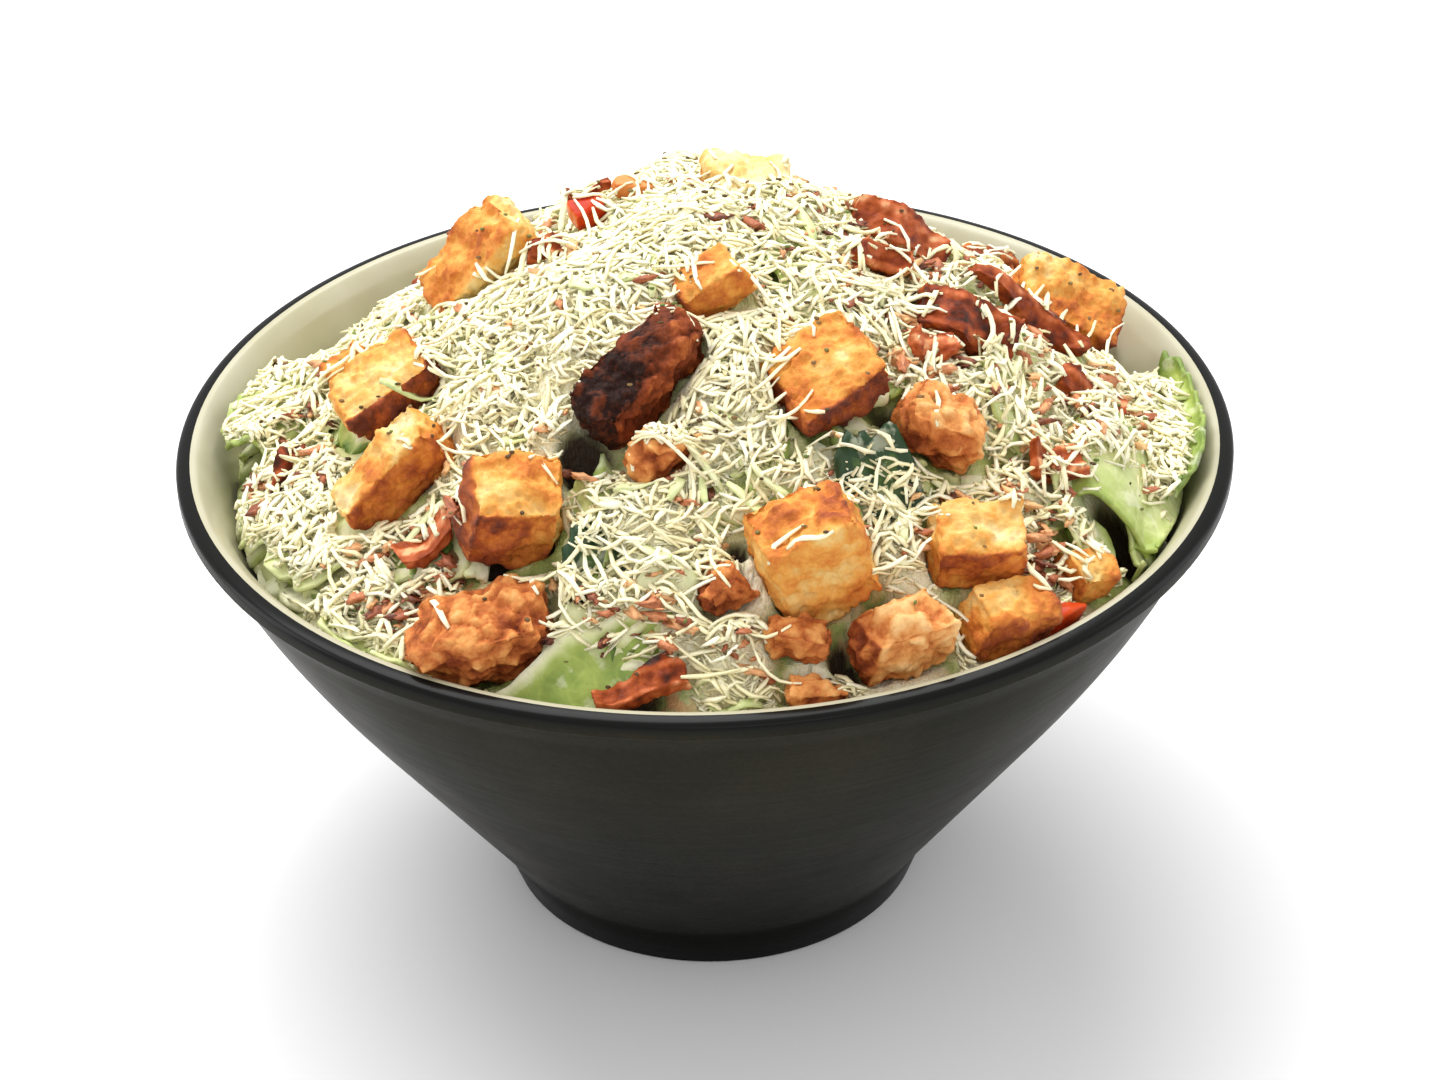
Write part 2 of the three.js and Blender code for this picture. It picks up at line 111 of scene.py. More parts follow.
# %% [markdown]
# ## Camera
# A long lens from above the near edge of the table shows the heap and the bowl's dark side together.
# The small shifts only slide the picture. The roll is the slight lean of a hand-held camera.

# %% Camera
CAMERA_PLACE = (0, -0.5874, 0.4398)
LOOK_DOWN = math.radians(32.95)
ROLL = math.radians(-1.535)

camera_data = bpy.data.cameras.new("camera")
camera_data.lens = 89.2
camera_data.sensor_width = 36
camera_data.shift_x = 0.008
camera_data.shift_y = 0.0389
camera = bpy.data.objects.new("camera", camera_data)
tilt = Matrix.Rotation(math.pi / 2 - LOOK_DOWN, 4, "X")
camera.matrix_world = Matrix.Translation(CAMERA_PLACE) @ tilt @ Matrix.Rotation(ROLL, 4, "Z")
bpy.context.scene.collection.objects.link(camera)
bpy.context.scene.camera = camera
print("camera stands", round(camera.location.length, 2), "m away")

# %% [markdown]
# ## Lights
# Food is lit softly so that pale cheese keeps its strands: a white room all round, one large lamp above
# and a little behind for shape, a faint one in front, and two tall lamps at the sides. The side lamps
# are there for the glaze, so they are hidden from dull surfaces and leave only their long soft
# reflections on the bowl.

# %% Room and lamps
ROOM_LIGHT = 0.9
LIT_PLACE = (0, 0, 0.09)


def lamp(name, where, size, watts, on_dull=True):
    """A square lamp that looks at the heap."""
    data = bpy.data.lights.new(name, "AREA")
    data.shape = "RECTANGLE"
    data.size, data.size_y = size
    data.energy = watts
    made = bpy.data.objects.new(name, data)
    aim = Vector(LIT_PLACE) - Vector(where)
    turn = aim.to_track_quat("-Z", "Y").to_matrix().to_4x4()
    made.matrix_world = Matrix.Translation(where) @ turn
    made.visible_diffuse = on_dull
    bpy.context.scene.collection.objects.link(made)
    return made


lamps = [
    lamp("overhead lamp", (-0.12, 0.3, 0.8), (0.9, 0.5), 8.4),
    lamp("front lamp", (0.2, -0.95, 0.8), (0.7, 0.5), 0.9),
    lamp("left lamp", (-0.8, 0.1, 0.3), (0.3, 0.8), 2.5, on_dull=False),
    lamp("right lamp", (0.8, 0.2, 0.3), (0.3, 0.8), 1.5, on_dull=False),
]
world = bpy.data.worlds.new("white room")
world.use_nodes = True
white = world.node_tree.nodes["Background"]
white.inputs["Color"].default_value = (1, 1, 1, 1)
white.inputs["Strength"].default_value = ROOM_LIGHT
bpy.context.scene.world = world
bpy.context.scene.view_settings.view_transform = "Standard"
print("lamps:", len(lamps))

# %% [markdown]
# ## Sums on shader sockets
# A finish is a small sum: a patch of noise plus how toasted this spot is, minus something in the pores.
# Written as nodes that is a tangle, so one class wraps a socket and lets Python's own signs add the Math
# nodes. Every other kind of node comes from its `add`, which takes settings first and sockets second.

# %% Shader sums


class Shade:
    """One output of a finish's nodes. Signs on it add Math nodes, and add puts in any other node."""

    def __init__(self, tree, socket=None):
        self.tree = tree
        self.socket = socket

    def add(self, kind, settings=None, values=None, output=0):
        """A node of any kind, with its settings and then the values or links of its sockets."""
        node = self.tree.nodes.new("ShaderNode" + kind)
        for name, value in (settings or {}).items():
            if name == "stops":
                set_stops(node.color_ramp, value)
            else:
                setattr(node, name, value)
        for name, value in (values or {}).items():
            if isinstance(value, Shade):
                self.tree.links.new(value.socket, node.inputs[name])
            else:
                node.inputs[name].default_value = value
        return Shade(self.tree, node.outputs[output])

    def math(self, operation, first, second=0.0):
        """One Math node."""
        return self.add("Math", {"operation": operation}, {0: first, 1: second})

    def __add__(self, other):
        return self.math("ADD", self, other)

    def __radd__(self, other):
        return self.math("ADD", other, self)

    def __sub__(self, other):
        return self.math("SUBTRACT", self, other)

    def __rsub__(self, other):
        return self.math("SUBTRACT", other, self)

    def __mul__(self, other):
        return self.math("MULTIPLY", self, other)

    def __rmul__(self, other):
        return self.math("MULTIPLY", other, self)

    def above(self, level, width):
        """0 where the value is below level and 1 where it is width above it."""
        values = {"Value": self, "From Min": level, "From Max": level + width}
        return self.add("MapRange", {"clamp": True}, values)


def set_stops(ramp, stops):
    """Gives a colour ramp its stops, as pairs of place and colour."""
    while len(ramp.elements) < len(stops):
        ramp.elements.new(0.5)
    for element, (where, colour) in zip(ramp.elements, stops):
        element.position = where
        element.color = colour


def tint(red, green, blue):
    """A colour by its screen values from 0 to 255, as the linear one that nodes use."""
    return tuple(((value / 255 + 0.055) / 1.055) ** 2.4 for value in (red, green, blue)) + (1.0,)


# %% [markdown]
# The helpers below are the few things that every finish here is made of: noise at a size in
# millimetres, a value that the shape carries, a ramp of colours, a mix of two colours, and a bump. Most
# foods are toned the same way: what the shape carries, made uneven by noise, picks a colour.

# %% Finishes from a few parts


class Finish:
    """A material with one Principled node, and short ways to the nodes that this notebook uses."""

    def __init__(self, name, **constants):
        self.material = bpy.data.materials.new(name)
        self.material.use_nodes = True
        self.tree = self.material.node_tree
        self.shader = self.tree.nodes["Principled BSDF"]
        for socket, value in constants.items():
            self.shader.inputs[socket.replace("_", " ")].default_value = value
        self.nodes = Shade(self.tree)
        self.where = self.nodes.add("TexCoord", output=3)

    def drive(self, socket, shade):
        """Lets a shade feed one socket of the Principled node."""
        self.tree.links.new(shade.socket, self.shader.inputs[socket])

    def noise(self, size, detail=2.0, stretch=None):
        """Soft noise from 0 to 1 with lumps of a size in millimetres."""
        where = self.where
        if stretch:
            where = self.nodes.add("Mapping", None, {"Vector": where, "Scale": stretch})
        values = {"Vector": where, "Scale": 1 / (size * MM), "Detail": detail}
        return self.nodes.add("TexNoise", None, values)

    def cells(self, size, feature="F1"):
        """Distance to the nearest of many scattered points, a size in millimetres apart."""
        values = {"Vector": self.where, "Scale": 1 / (size * MM)}
        return self.nodes.add("TexVoronoi", {"feature": feature}, values)

    def carried(self, name):
        """A value from 0 to 1 that the shape carries on its corners."""
        return self.nodes.add("Attribute", {"attribute_name": name}, output=2)

    def ramp(self, level, stops):
        """The colour that a level from 0 to 1 has between some stops."""
        return self.nodes.add("ValToRGB", {"stops": stops}, {"Fac": level})

    def mixed(self, share, first, second):
        """A colour that goes from first to second as share goes from 0 to 1."""
        values = {0: share, 6: first, 7: second}
        return self.nodes.add("Mix", {"data_type": "RGBA"}, values, output=2)

    def toned(self, carried, stops, *noises):
        """Colours it by a carried value, made uneven by noises of a size, a detail and an amount."""
        level = self.carried(carried)
        for size, detail, amount in noises:
            level = level + (self.noise(size, detail) - 0.5) * amount
        self.drive("Base Color", self.ramp(level, stops))

    def bump(self, height, depth):
        """Lets a height from 0 to 1 stand up by a depth in millimetres."""
        values = {"Height": height, "Distance": depth * MM, "Strength": 1.0}
        self.drive("Normal", self.nodes.add("Bump", None, values))


# %% [markdown]
# ## Floor
# The bowl stands on a plain pale disc, so large that its edge is never seen. It is part of the stage and
# not of the salad.

# %% Pale floor
FLOOR_REACH = 4.0

floor_finish = Finish("pale floor", Roughness=0.9, Specular_IOR_Level=0.1)
floor_stops = [(0, tint(247, 247, 247)), (1, tint(251, 251, 251))]
floor_finish.drive("Base Color", floor_finish.ramp(floor_finish.noise(400), floor_stops))
floor_shape = bmesh.new()
bmesh.ops.create_circle(floor_shape, cap_ends=True, segments=96, radius=FLOOR_REACH)
floor_mesh = bpy.data.meshes.new("floor")
floor_shape.to_mesh(floor_mesh)
floor_shape.free()
floor_mesh.materials.append(floor_finish.material)
floor = bpy.data.objects.new("floor", floor_mesh)
bpy.context.scene.collection.objects.link(floor)
print("floor reaches", FLOOR_REACH, "m")

# %% [markdown]
# ## Bowl
# The bowl was thrown on a wheel, so its shape is one section turned about the upright axis. The
# section is drawn once, from the recess under the foot, up the outside, over the rim's bead and down the
# inside, and spun. The real glaze is dark outside and over the bead, and cream inside, with
# the change on the crown of the bead. Two finishes on the faces of one mesh give that edge exactly.

# %% The bowl's section
low, high = (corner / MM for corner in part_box("bowl"))
RIM_RADIUS = high.x
BOWL_HEIGHT = high.z
WALL = 4.4  # measured level, from the outside of the wall to the inside
BEAD_HEIGHT = 3.6
BEAD_REACH = 0.8  # how far the bead stands out over the wall below it
BEAD_TURN = 1.3  # how far under the crown the bead begins to turn in
CREAM_EDGE = 2.7  # how far in from the bead's outside the cream glaze begins
SHOULDER_RADIUS, SHOULDER_HEIGHT = 88.3, 72.7
KNEE_RADIUS, KNEE_HEIGHT = 44.4, 10.1
FOOT_RADIUS, FOOT_LAND, FOOT_RECESS = 41, 4.5, 1.4
FLOOR_HEIGHT, FLOOR_RADIUS = 8.5, 33
FOOT_EDGE = 0.6  # the foot's rounded lower edge
SHOULDER_END = 89  # the shoulder's soft turn ends at this height
BOWL_STEPS = 180


def outside_radius(z):
    """Outside radius of the wall at a height above the table."""
    if z < SHOULDER_HEIGHT:
        share = (z - KNEE_HEIGHT) / (SHOULDER_HEIGHT - KNEE_HEIGHT)
        return blend(KNEE_RADIUS, SHOULDER_RADIUS, share)
    share = (z - SHOULDER_HEIGHT) / (BOWL_HEIGHT - SHOULDER_HEIGHT)
    return blend(SHOULDER_RADIUS, RIM_RADIUS - BEAD_REACH, share)


def inside_radius(z):
    """Inside radius of the wall at a height above the table."""
    return outside_radius(z) - WALL


def curve(start, pull, end, steps):
    """Points from start to end on a curve that leans towards pull, without the first."""
    points = []
    for step in range(1, steps + 1):
        share = step / steps
        first = Vector(start).lerp(Vector(pull), share)
        points.append(tuple(first.lerp(Vector(pull).lerp(Vector(end), share), share)))
    return points


def bowl_section():
    """The wall's section as radius and height."""
    bead_base = BOWL_HEIGHT - BEAD_HEIGHT
    bead_inside = (inside_radius(bead_base), bead_base)
    neck = (outside_radius(bead_base - 1), bead_base - 1)
    crown = (RIM_RADIUS - CREAM_EDGE, BOWL_HEIGHT)
    shoulder_end = (outside_radius(SHOULDER_END), SHOULDER_END)
    inner_knee = FLOOR_HEIGHT + 6
    points = [(0, FOOT_RECESS), (FOOT_RADIUS - FOOT_LAND - FOOT_RECESS, FOOT_RECESS)]
    points += [(FOOT_RADIUS - FOOT_LAND, 0), (FOOT_RADIUS - FOOT_EDGE, 0), (FOOT_RADIUS, FOOT_EDGE)]
    points += [(KNEE_RADIUS - 0.5, KNEE_HEIGHT - 1.5)]
    points += curve(points[-1], (KNEE_RADIUS, KNEE_HEIGHT), (KNEE_RADIUS + 0.8, KNEE_HEIGHT + 1), 4)
    points += [(outside_radius(z), z) for z in range(16, 55, 5)]
    points += curve(points[-1], (SHOULDER_RADIUS, SHOULDER_HEIGHT), shoulder_end, 12)
    points += [neck]
    points += curve(neck, (RIM_RADIUS - 0.2, bead_base - 0.4), (RIM_RADIUS, bead_base + 0.5), 4)
    points += [(RIM_RADIUS, BOWL_HEIGHT - BEAD_TURN)]
    points += curve(points[-1], (RIM_RADIUS - 0.2, BOWL_HEIGHT - 0.1), crown, 8)
    points += [(RIM_RADIUS - WALL + 1.0, BOWL_HEIGHT)]
    points += curve(points[-1], (RIM_RADIUS - WALL, BOWL_HEIGHT), bead_inside, 8)
    points += [(inside_radius(z), z) for z in range(90, 18, -4)]
    points += [(inside_radius(inner_knee), inner_knee)]
    points += curve(points[-1], (FLOOR_RADIUS + 3, FLOOR_HEIGHT), (FLOOR_RADIUS - 4, FLOOR_HEIGHT), 6)
    return points + [(0, FLOOR_HEIGHT)]


def spun(section, steps):
    """A closed solid of revolution from a section that begins and ends on the axis."""
    shape = bmesh.new()
    corners = [shape.verts.new((radius, 0, z)) for radius, z in section]
    edges = [shape.edges.new(pair) for pair in zip(corners, corners[1:])]
    turn = {"cent": (0, 0, 0), "axis": (0, 0, 1), "angle": 2 * math.pi, "steps": steps}
    bmesh.ops.spin(shape, geom=corners + edges, use_merge=True, **turn)
    bmesh.ops.remove_doubles(shape, verts=shape.verts, dist=0.001)
    bmesh.ops.recalc_face_normals(shape, faces=shape.faces)
    return shape


bowl_shape = spun(bowl_section(), BOWL_STEPS)
print("bowl:", round(2 * RIM_RADIUS), "mm over the rim,", len(bowl_shape.faces), "faces")

# %% [markdown]
# A satin stoneware glaze isn't one grey. It breaks a little lighter and browner where it runs thin and
# is blackest on the rim, its sheen comes and goes, and the wheel leaves faint level rings. Towards the
# foot its colour is darkened as painted shade, for the dim light under the bowl. It pools glossy on the
# bead, so a clear coat is driven by height there. The inside is a quiet cream glaze. The rings are noise
# squeezed along the height only.

# %% Glazes
FOOT_SHADE = 72  # the dark glaze lightens from the table up to this height
BEAD_GLOSS = 2.6  # how far under the crown the gloss begins
LEVEL_FACE = 0.9  # a face whose normal stands this upright is level

dark_glaze = Finish("dark satin glaze", Specular_IOR_Level=0.02, Coat_Roughness=0.2)
thin_glaze = dark_glaze.noise(26, 3)
grain = dark_glaze.noise(0.9, 2)
shade = thin_glaze * 0.7 + grain * 0.3
dark_stops = [(0.3, tint(31, 31, 26)), (0.55, tint(38, 37, 30)), (0.75, tint(47, 44, 35))]
dark = dark_glaze.ramp(shade, dark_stops)
dark_glaze.drive("Roughness", 0.28 + dark_glaze.noise(9, 3) * 0.14)
height = dark_glaze.nodes.add("SeparateXYZ", None, {"Vector": dark_glaze.where}, output=2)
# Painted shade: the glaze is darkened towards the foot, where little light reaches under the bowl.
foot_shaded_glaze = dark_glaze.mixed(height.above(0.0, FOOT_SHADE * MM), tint(8, 8, 8), dark)
on_bead = height.above((BOWL_HEIGHT - BEAD_GLOSS) * MM, 1.2 * MM)
dark_glaze.drive("Base Color", dark_glaze.mixed(on_bead, foot_shaded_glaze, tint(13, 14, 12)))
dark_glaze.drive("Coat Weight", on_bead * 0.2)
rings = dark_glaze.noise(60, 2, stretch=(1, 1, 22))
dark_glaze.bump(rings * 0.7 + grain * 0.3, 0.12)

cream_glaze = Finish("cream glaze", Specular_IOR_Level=0.45)
cream_stops = [(0.3, tint(173, 168, 139)), (0.7, tint(185, 181, 157))]
cream_glaze.drive("Base Color", cream_glaze.ramp(cream_glaze.noise(22, 3), cream_stops))
cream_glaze.drive("Roughness", 0.24 + cream_glaze.noise(8, 2) * 0.14)
cream_glaze.bump(cream_glaze.noise(14, 3), 0.1)

for face in bowl_shape.faces:
    middle = face.calc_center_median()
    reach = math.hypot(middle.x, middle.y)
    outwards = face.normal.x * middle.x + face.normal.y * middle.y
    inside = outwards < 0 or face.normal.z > LEVEL_FACE
    in_bowl = middle.z > FLOOR_HEIGHT - 1 and reach < RIM_RADIUS - CREAM_EDGE
    face.material_index = int(inside and in_bowl)
glazes = [dark_glaze.material, cream_glaze.material]
bowl = settle(bowl_shape, "stoneware_bowl", glazes, ["bowl"])
print("bowl:", triangles(bowl), "triangles")

# %% [markdown]
# ## The heap's form
# One formula gives the height that the eye reads as the heap's surface: a dome whose edge is higher in
# front, and which falls off to the left. The bed, the leaves and the cheese are placed from it. The
# toppings' own solids go into a search tree, so that anything laid later can ask what is under or over
# it.

# %% Surface of the heap and the toppings in it
HEAP_TOP = 143
HEAP_RADIUS = 91
EDGE_HEIGHT = 90.5
EDGE_FALL = 5
LEFT_FALL = 0.16
CORE_DEPTH = 4.5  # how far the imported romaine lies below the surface
BACK_FALL = 2.2  # how much further it falls at the back, on both sides of the crest
CREST_MIDDLE, CREST_WIDTH = 2, 20
BACK_START, BACK_END = 0, 30
SEARCH_REACH = 14
UP = Vector((0, 0, 1))

topping_names = sorted(set(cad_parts) - {"bowl", "salad"})


def heap_surface(x, y):
    """Height of the heap at a place, before any leaf or topping."""
    reach = min(math.hypot(x, y) / HEAP_RADIUS, 1)
    edge = EDGE_HEIGHT - EDGE_FALL * y / HEAP_RADIUS
    fall = LEFT_FALL * min(x, 0) / HEAP_RADIUS
    return edge + (HEAP_TOP - edge) * (1 - reach * reach) * (1 + fall)


def search_tree(objects):
    """A tree of the faces of some objects, in millimetres, for rays and nearest points."""
    corners, faces = [], []
    for item in objects:
        first = len(corners)
        corners += [vert.co / MM for vert in item.data.vertices]
        faces += [[first + corner for corner in face.vertices] for face in item.data.polygons]
    return BVHTree.FromPolygons(corners, faces)


def bed_level(x, y):
    """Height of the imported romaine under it, which falls away at the back on both sides."""
    aside = 1 - math.exp(-(((x - CREST_MIDDLE) / CREST_WIDTH) ** 2))
    return heap_surface(x, y) - CORE_DEPTH - BACK_FALL * fade(y, BACK_START, BACK_END) * aside


topping_solids = [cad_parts[name] for name in topping_names]
toppings_tree = search_tree(topping_solids)
owners = [solid.name for solid in topping_solids for _ in solid.data.polygons]


def underside(x, y):
    """Height of the lowest topping over a place, or None."""
    found = toppings_tree.ray_cast(Vector((x, y, 0)), UP)[0]
    return found.z if found else None


def inside_topping(point):
    """Whether a point is within a topping's solid."""
    found, normal, _, _ = toppings_tree.find_nearest(point, SEARCH_REACH)
    return found is not None and (point - found).dot(normal) < 0


print("toppings:", len(topping_names))

# %% [markdown]
# ## Where the cheese lies
# Cheese isn't spread evenly. It was thrown on by hand and lies in drifts: thick over the middle and left,
# thinner round the toppings, almost none at the rim. Gaps, painted dark as shade in the bed's colour, and
# broken bits gather at their own places as well. Each list below gives spots that fade outwards from a
# middle, and one function finds the strongest at a place. The bed, the scraps and the strands all ask it,
# so they agree. What is packed under the loose top of a drift is part of the bed, and only the top is
# made of strands.

# %% Drifts of cheese
# Middle of each drift, how wide it is and how deep the cheese lies there, in millimetres.
DRIFTS = [
    (-22, -18, 23, 7.2),
    (-2, -4, 17, 6.4),
    (-40, -36, 14, 6.2),
    (-26, -47, 10, 6.0),
    (-24, -34, 8, 8.0),
    (-9, -64, 12, 6.0),
    (-20, -75, 6, 5.2),
    (-7, -77, 6, 5.0),
    (6, -72, 9, 5.0),
    (3, -47, 12, 5.8),
    (-6, -56, 10, 5.8),
    (10, -35, 12, 5.4),
    (28, -20, 14, 4.6),
    (46, -32, 12, 5.0),
    (68, -36, 13, 4.6),
    (34, -65, 9, 4.8),
    (-6, -80, 8, 4.6),
    (-76, -33, 13, 3.6),
    (-65, -56, 12, 4.2),
    (34, -84, 12, 4.4),
    (62, -62, 9, 4.4),
    (4, -83, 9, 4.8),
    (18, -86, 8, 4.2),
    (48, -76, 9, 4.0),
    (22, -66, 8, 3.8),
    (-5, 43, 16, 7.2),
    (-22, 43, 11, 6.6),
    (56, -10, 12, 4.4),
    (75, -16, 10, 4.2),
]
DUSTING = 2.1  # depth of the cheese away from any drift
LOOSE = 1.2  # depth of the loose top


def strongest(spots, x, y):
    """What the strongest of some spots gives a place. A spot is a middle, a width and an amount."""
    return max(
        amount * math.exp(-((x - mx) ** 2 + (y - my) ** 2) / width**2) for mx, my, width, amount in spots
    )


def cheese_depth(x, y):
    """How deep the cheese lies at a place."""
    return max(strongest(DRIFTS, x, y), DUSTING)


print("drifts:", len(DRIFTS))

# %% Gaps and broken bits
# Gaps between the pieces, where the bed falls away and its colour is painted dark as shade: middle, how
# wide and how deep.
HOLLOWS = [
    (-21, -50, 4.5, 7),
    (23, -81, 2.6, 8),
    (75, -41, 5, 6),
    (84, -43, 4.5, 5),
    (5, -68, 2.2, 5),
    (33, -42, 3.4, 5),
    (-37, -60, 3.2, 6),
    (-12, -88, 4.5, 4),
]
# Where broken bits of chicken and bacon gather: middle, how wide, and how likely one is there.
BIT_DRIFTS = [
    (60, -10, 18, 0.4),
    (66, -34, 14, 0.4),
    (36, 0, 13, 0.4),
    (40, -25, 11, 0.35),
    (-14, -88, 11, 1.0),
    (4, -84, 11, 0.5),
    (30, -84, 16, 0.6),
    (56, -60, 14, 0.7),
    (-48, -60, 9, 1.0),
    (-52, -72, 9, 0.9),
    (-78, -24, 7, 0.5),
    (-8, -52, 10, 0.15),
    (22, -54, 9, 0.15),
    (-66, 4, 7, 0.6),
    (10, 70, 18, 0.3),
]
BIT_RATE = 0.025


def hollow(x, y):
    """How far the bed falls away into a gap, whose colour the bed's finish paints dark as shade."""
    return strongest(HOLLOWS, x, y)


def bit_likely(x, y):
    """How likely a broken bit of chicken or bacon lies at a place."""
    return strongest(BIT_DRIFTS, x, y) + BIT_RATE


print("gaps:", len(HOLLOWS), "and places with bits:", len(BIT_DRIFTS))

# %% [markdown]
# ## Bed of romaine
# Under what lies loose is the rest of the salad: folded romaine, with cheese packed over it where it
# drifted. It shows only between other pieces, so it is one spun form, with bumps as large as folded
# leaves, a finer grain, and a pocket under every topping. Noise moves its corners, and the noise is only
# in height, so the bed stays inside the bowl. Each corner also carries what covers it, for the finish.

# %% Bed
BED_STEPS = 400
BED_RINGS = 108
FOLD_SIZE, FOLD_HEIGHT = 14, 1.2
GRAIN_SIZE, GRAIN_HEIGHT = 2.2, 0.7
POCKET = 0.5  # clear space under a topping
WALL_GAP = 1  # clear space between the salad and the wall
THICK_CHEESE = 4.0  # from this depth on the cheese hides the romaine


def bed_height(x, y):
    """Top of the bed at a place."""
    fold = noise.fractal(Vector((x, y, 40)) / FOLD_SIZE, 1.0, 2.0, 3)
    grain = noise.fractal(Vector((x, y, 5)) / GRAIN_SIZE, 0.8, 2.0, 2)
    packed_under = max(cheese_depth(x, y) - LOOSE, 0)
    bumps = bed_level(x, y) + FOLD_HEIGHT * fold + GRAIN_HEIGHT * grain
    height = bumps + packed_under - hollow(x, y)
    ceiling = underside(x, y)
    return height if ceiling is None else min(height, ceiling - POCKET)


bed_section = [(0, FLOOR_HEIGHT + 0.3), (FLOOR_RADIUS - 6, FLOOR_HEIGHT + 0.3)]
bed_section += [(inside_radius(z) - WALL_GAP, z) for z in (22, 40, 60, 76)]
bed_section += [(HEAP_RADIUS * (1 - ring / BED_RINGS), HEAP_TOP) for ring in range(BED_RINGS + 1)]
bed_shape = spun(bed_section, BED_STEPS)
for vert in bed_shape.verts:
    if vert.co.z > HEAP_TOP - 1:
        vert.co.z = bed_height(vert.co.x, vert.co.y)
        out = math.hypot(vert.co.x, vert.co.y)
        wall = inside_radius(vert.co.z) - WALL_GAP
        if out > min(wall, HEAP_RADIUS - 1):
            vert.co.x *= wall / out
            vert.co.y *= wall / out
bmesh.ops.recalc_face_normals(bed_shape, faces=bed_shape.faces)
covered = bed_shape.verts.layers.float.new("covered")
gap = bed_shape.verts.layers.float.new("gap")
crumbed = bed_shape.verts.layers.float.new("crumbed")
for vert in bed_shape.verts:
    x, y = vert.co.xy
    # How much of the painted shade in a gap a corner of the bed takes.
    vert[gap] = fade(hollow(x, y), 0.8, 3)
    vert[covered] = fade(cheese_depth(x, y), DUSTING, THICK_CHEESE) * (1 - vert[gap])
    vert[crumbed] = fade(bit_likely(x, y), 0.1, 0.7)
print("bed:", len(bed_shape.faces), "faces")

# %% [markdown]
# ## Romaine leaves
# A romaine leaf has a thick pale rib, a blade that goes from yellow-green to dark green at its edge,
# blisters between the veins and a ruffled rim. Each torn piece starts as a flat grid. A formula rolls it,
# tucks one long edge into the heap, lifts the other and ruffles it, and an extrusion closes it. The large
# pieces that can be told apart are listed at their places. The rest are drawn by a seeded
# rule, and one that would cross a topping is skipped.

# %% One torn leaf
LEAF_THICKNESS = 0.8
RIB_THICKNESS = 1.1  # more than the blade's
LEAF_LEVEL = 1.0
BLISTER_SIZE, BLISTER_HEIGHT = 4.5, 0.45


@dataclass
class Leaf:
    """A torn piece of romaine: its middle, size and heading, how it lies, and how green it is."""

    x: float
    y: float
    length: float
    width: float
    heading: float
    seed: int
    sink: float = 3.5
    rise: float = 2.5
    bend: float = 0
    ruffle: float = 1.2
    lift: float = 0
    green: float = 0.45
    rib: float = 9.0  # where the pale rib runs across the piece, from -1 to 1, or beyond for none
    frill: float = 0.7


def on_leaf(leaf, u, v):
    """The place of the point at u along the piece and v across it, both from -1 to 1."""
    heading = math.radians(leaf.heading)
    half_bend = math.radians(abs(leaf.bend) + 1) / 2
    roll = leaf.width / 2 / half_bend
    way = (leaf.bend > 0) - (leaf.bend < 0)
    torn = noise.noise(Vector((4.2 * u, leaf.seed * 3.7, v > 0)))
    taper = 1 - 0.4 * u * u + 0.22 * torn - 0.3 * fade(abs(u), 0.72, 1)
    if leaf.bend < -90:
        taper = 1 - 0.15 * u * u
    angle = v * half_bend * taper
    along = leaf.length / 2 * u * (1 + 0.1 * noise.noise(Vector((2.6 * v, leaf.seed, u > 0))))
    across = roll * math.sin(angle)
    x = leaf.x + along * math.cos(heading) - across * math.sin(heading)
    y = leaf.y + along * math.sin(heading) + across * math.cos(heading)
    arch = way * roll * (1 - math.cos(angle))
    wave = leaf.ruffle * (0.3 + 0.7 * abs(v)) * math.sin(5.2 * u + 1.8 * v + leaf.seed)
    rim = fade(abs(v), 0.45, 1)
    uneven = 2.1 * noise.noise(Vector((3 * u, leaf.seed, 9)))
    frill = leaf.frill * rim * math.sin(leaf.length * u / 2.1 + uneven + 3 * v)
    blister = BLISTER_HEIGHT * noise.noise(Vector((x, y, leaf.seed * 5)) / BLISTER_SIZE)
    tuck = blend(-leaf.sink, leaf.rise, (v + 1) / 2)
    z = bed_level(x, y) + LEAF_LEVEL + leaf.lift + tuck + arch + wave + frill + blister
    out = math.hypot(x, y)
    wall = inside_radius(min(z, BOWL_HEIGHT)) - WALL_GAP
    if out > wall:
        x *= wall / out
        y *= wall / out
    return Vector((x, y, z))


def lay_leaf(shape, leaf, grain):
    """Adds one leaf to a shape, with a grid of about grain millimetres."""
    columns = max(6, round(leaf.length / grain))
    rows = max(4, round(leaf.width / grain))
    sheet = bmesh.new()
    green = sheet.verts.layers.float.new("green")
    rib = sheet.verts.layers.float.new("rib")
    bmesh.ops.create_grid(sheet, x_segments=columns, y_segments=rows, size=1)
    for vert in sheet.verts:
        u, v = vert.co.x, vert.co.y
        vert[rib] = math.exp(-(((v - leaf.rib) / 0.3) ** 2))
        edge = fade(max(abs(v), abs(u)), 0.4, 1)
        vert[green] = leaf.green * blend(0.75, 1.15, edge) * (1 - vert[rib])
        vert.co = on_leaf(leaf, u, v)
    bmesh.ops.recalc_face_normals(sheet, faces=sheet.faces)
    doubled = bmesh.ops.extrude_face_region(sheet, geom=sheet.faces[:], use_keep_orig=True)
    for vert in doubled["geom"]:
        if isinstance(vert, bmesh.types.BMVert):
            vert.co += vert.normal * (LEAF_THICKNESS + RIB_THICKNESS * vert[rib])
    bmesh.ops.recalc_face_normals(sheet, faces=sheet.faces)
    mesh = bpy.data.meshes.new("leaf")
    sheet.to_mesh(mesh)
    sheet.free()
    shape.from_mesh(mesh)
    bpy.data.meshes.remove(mesh)


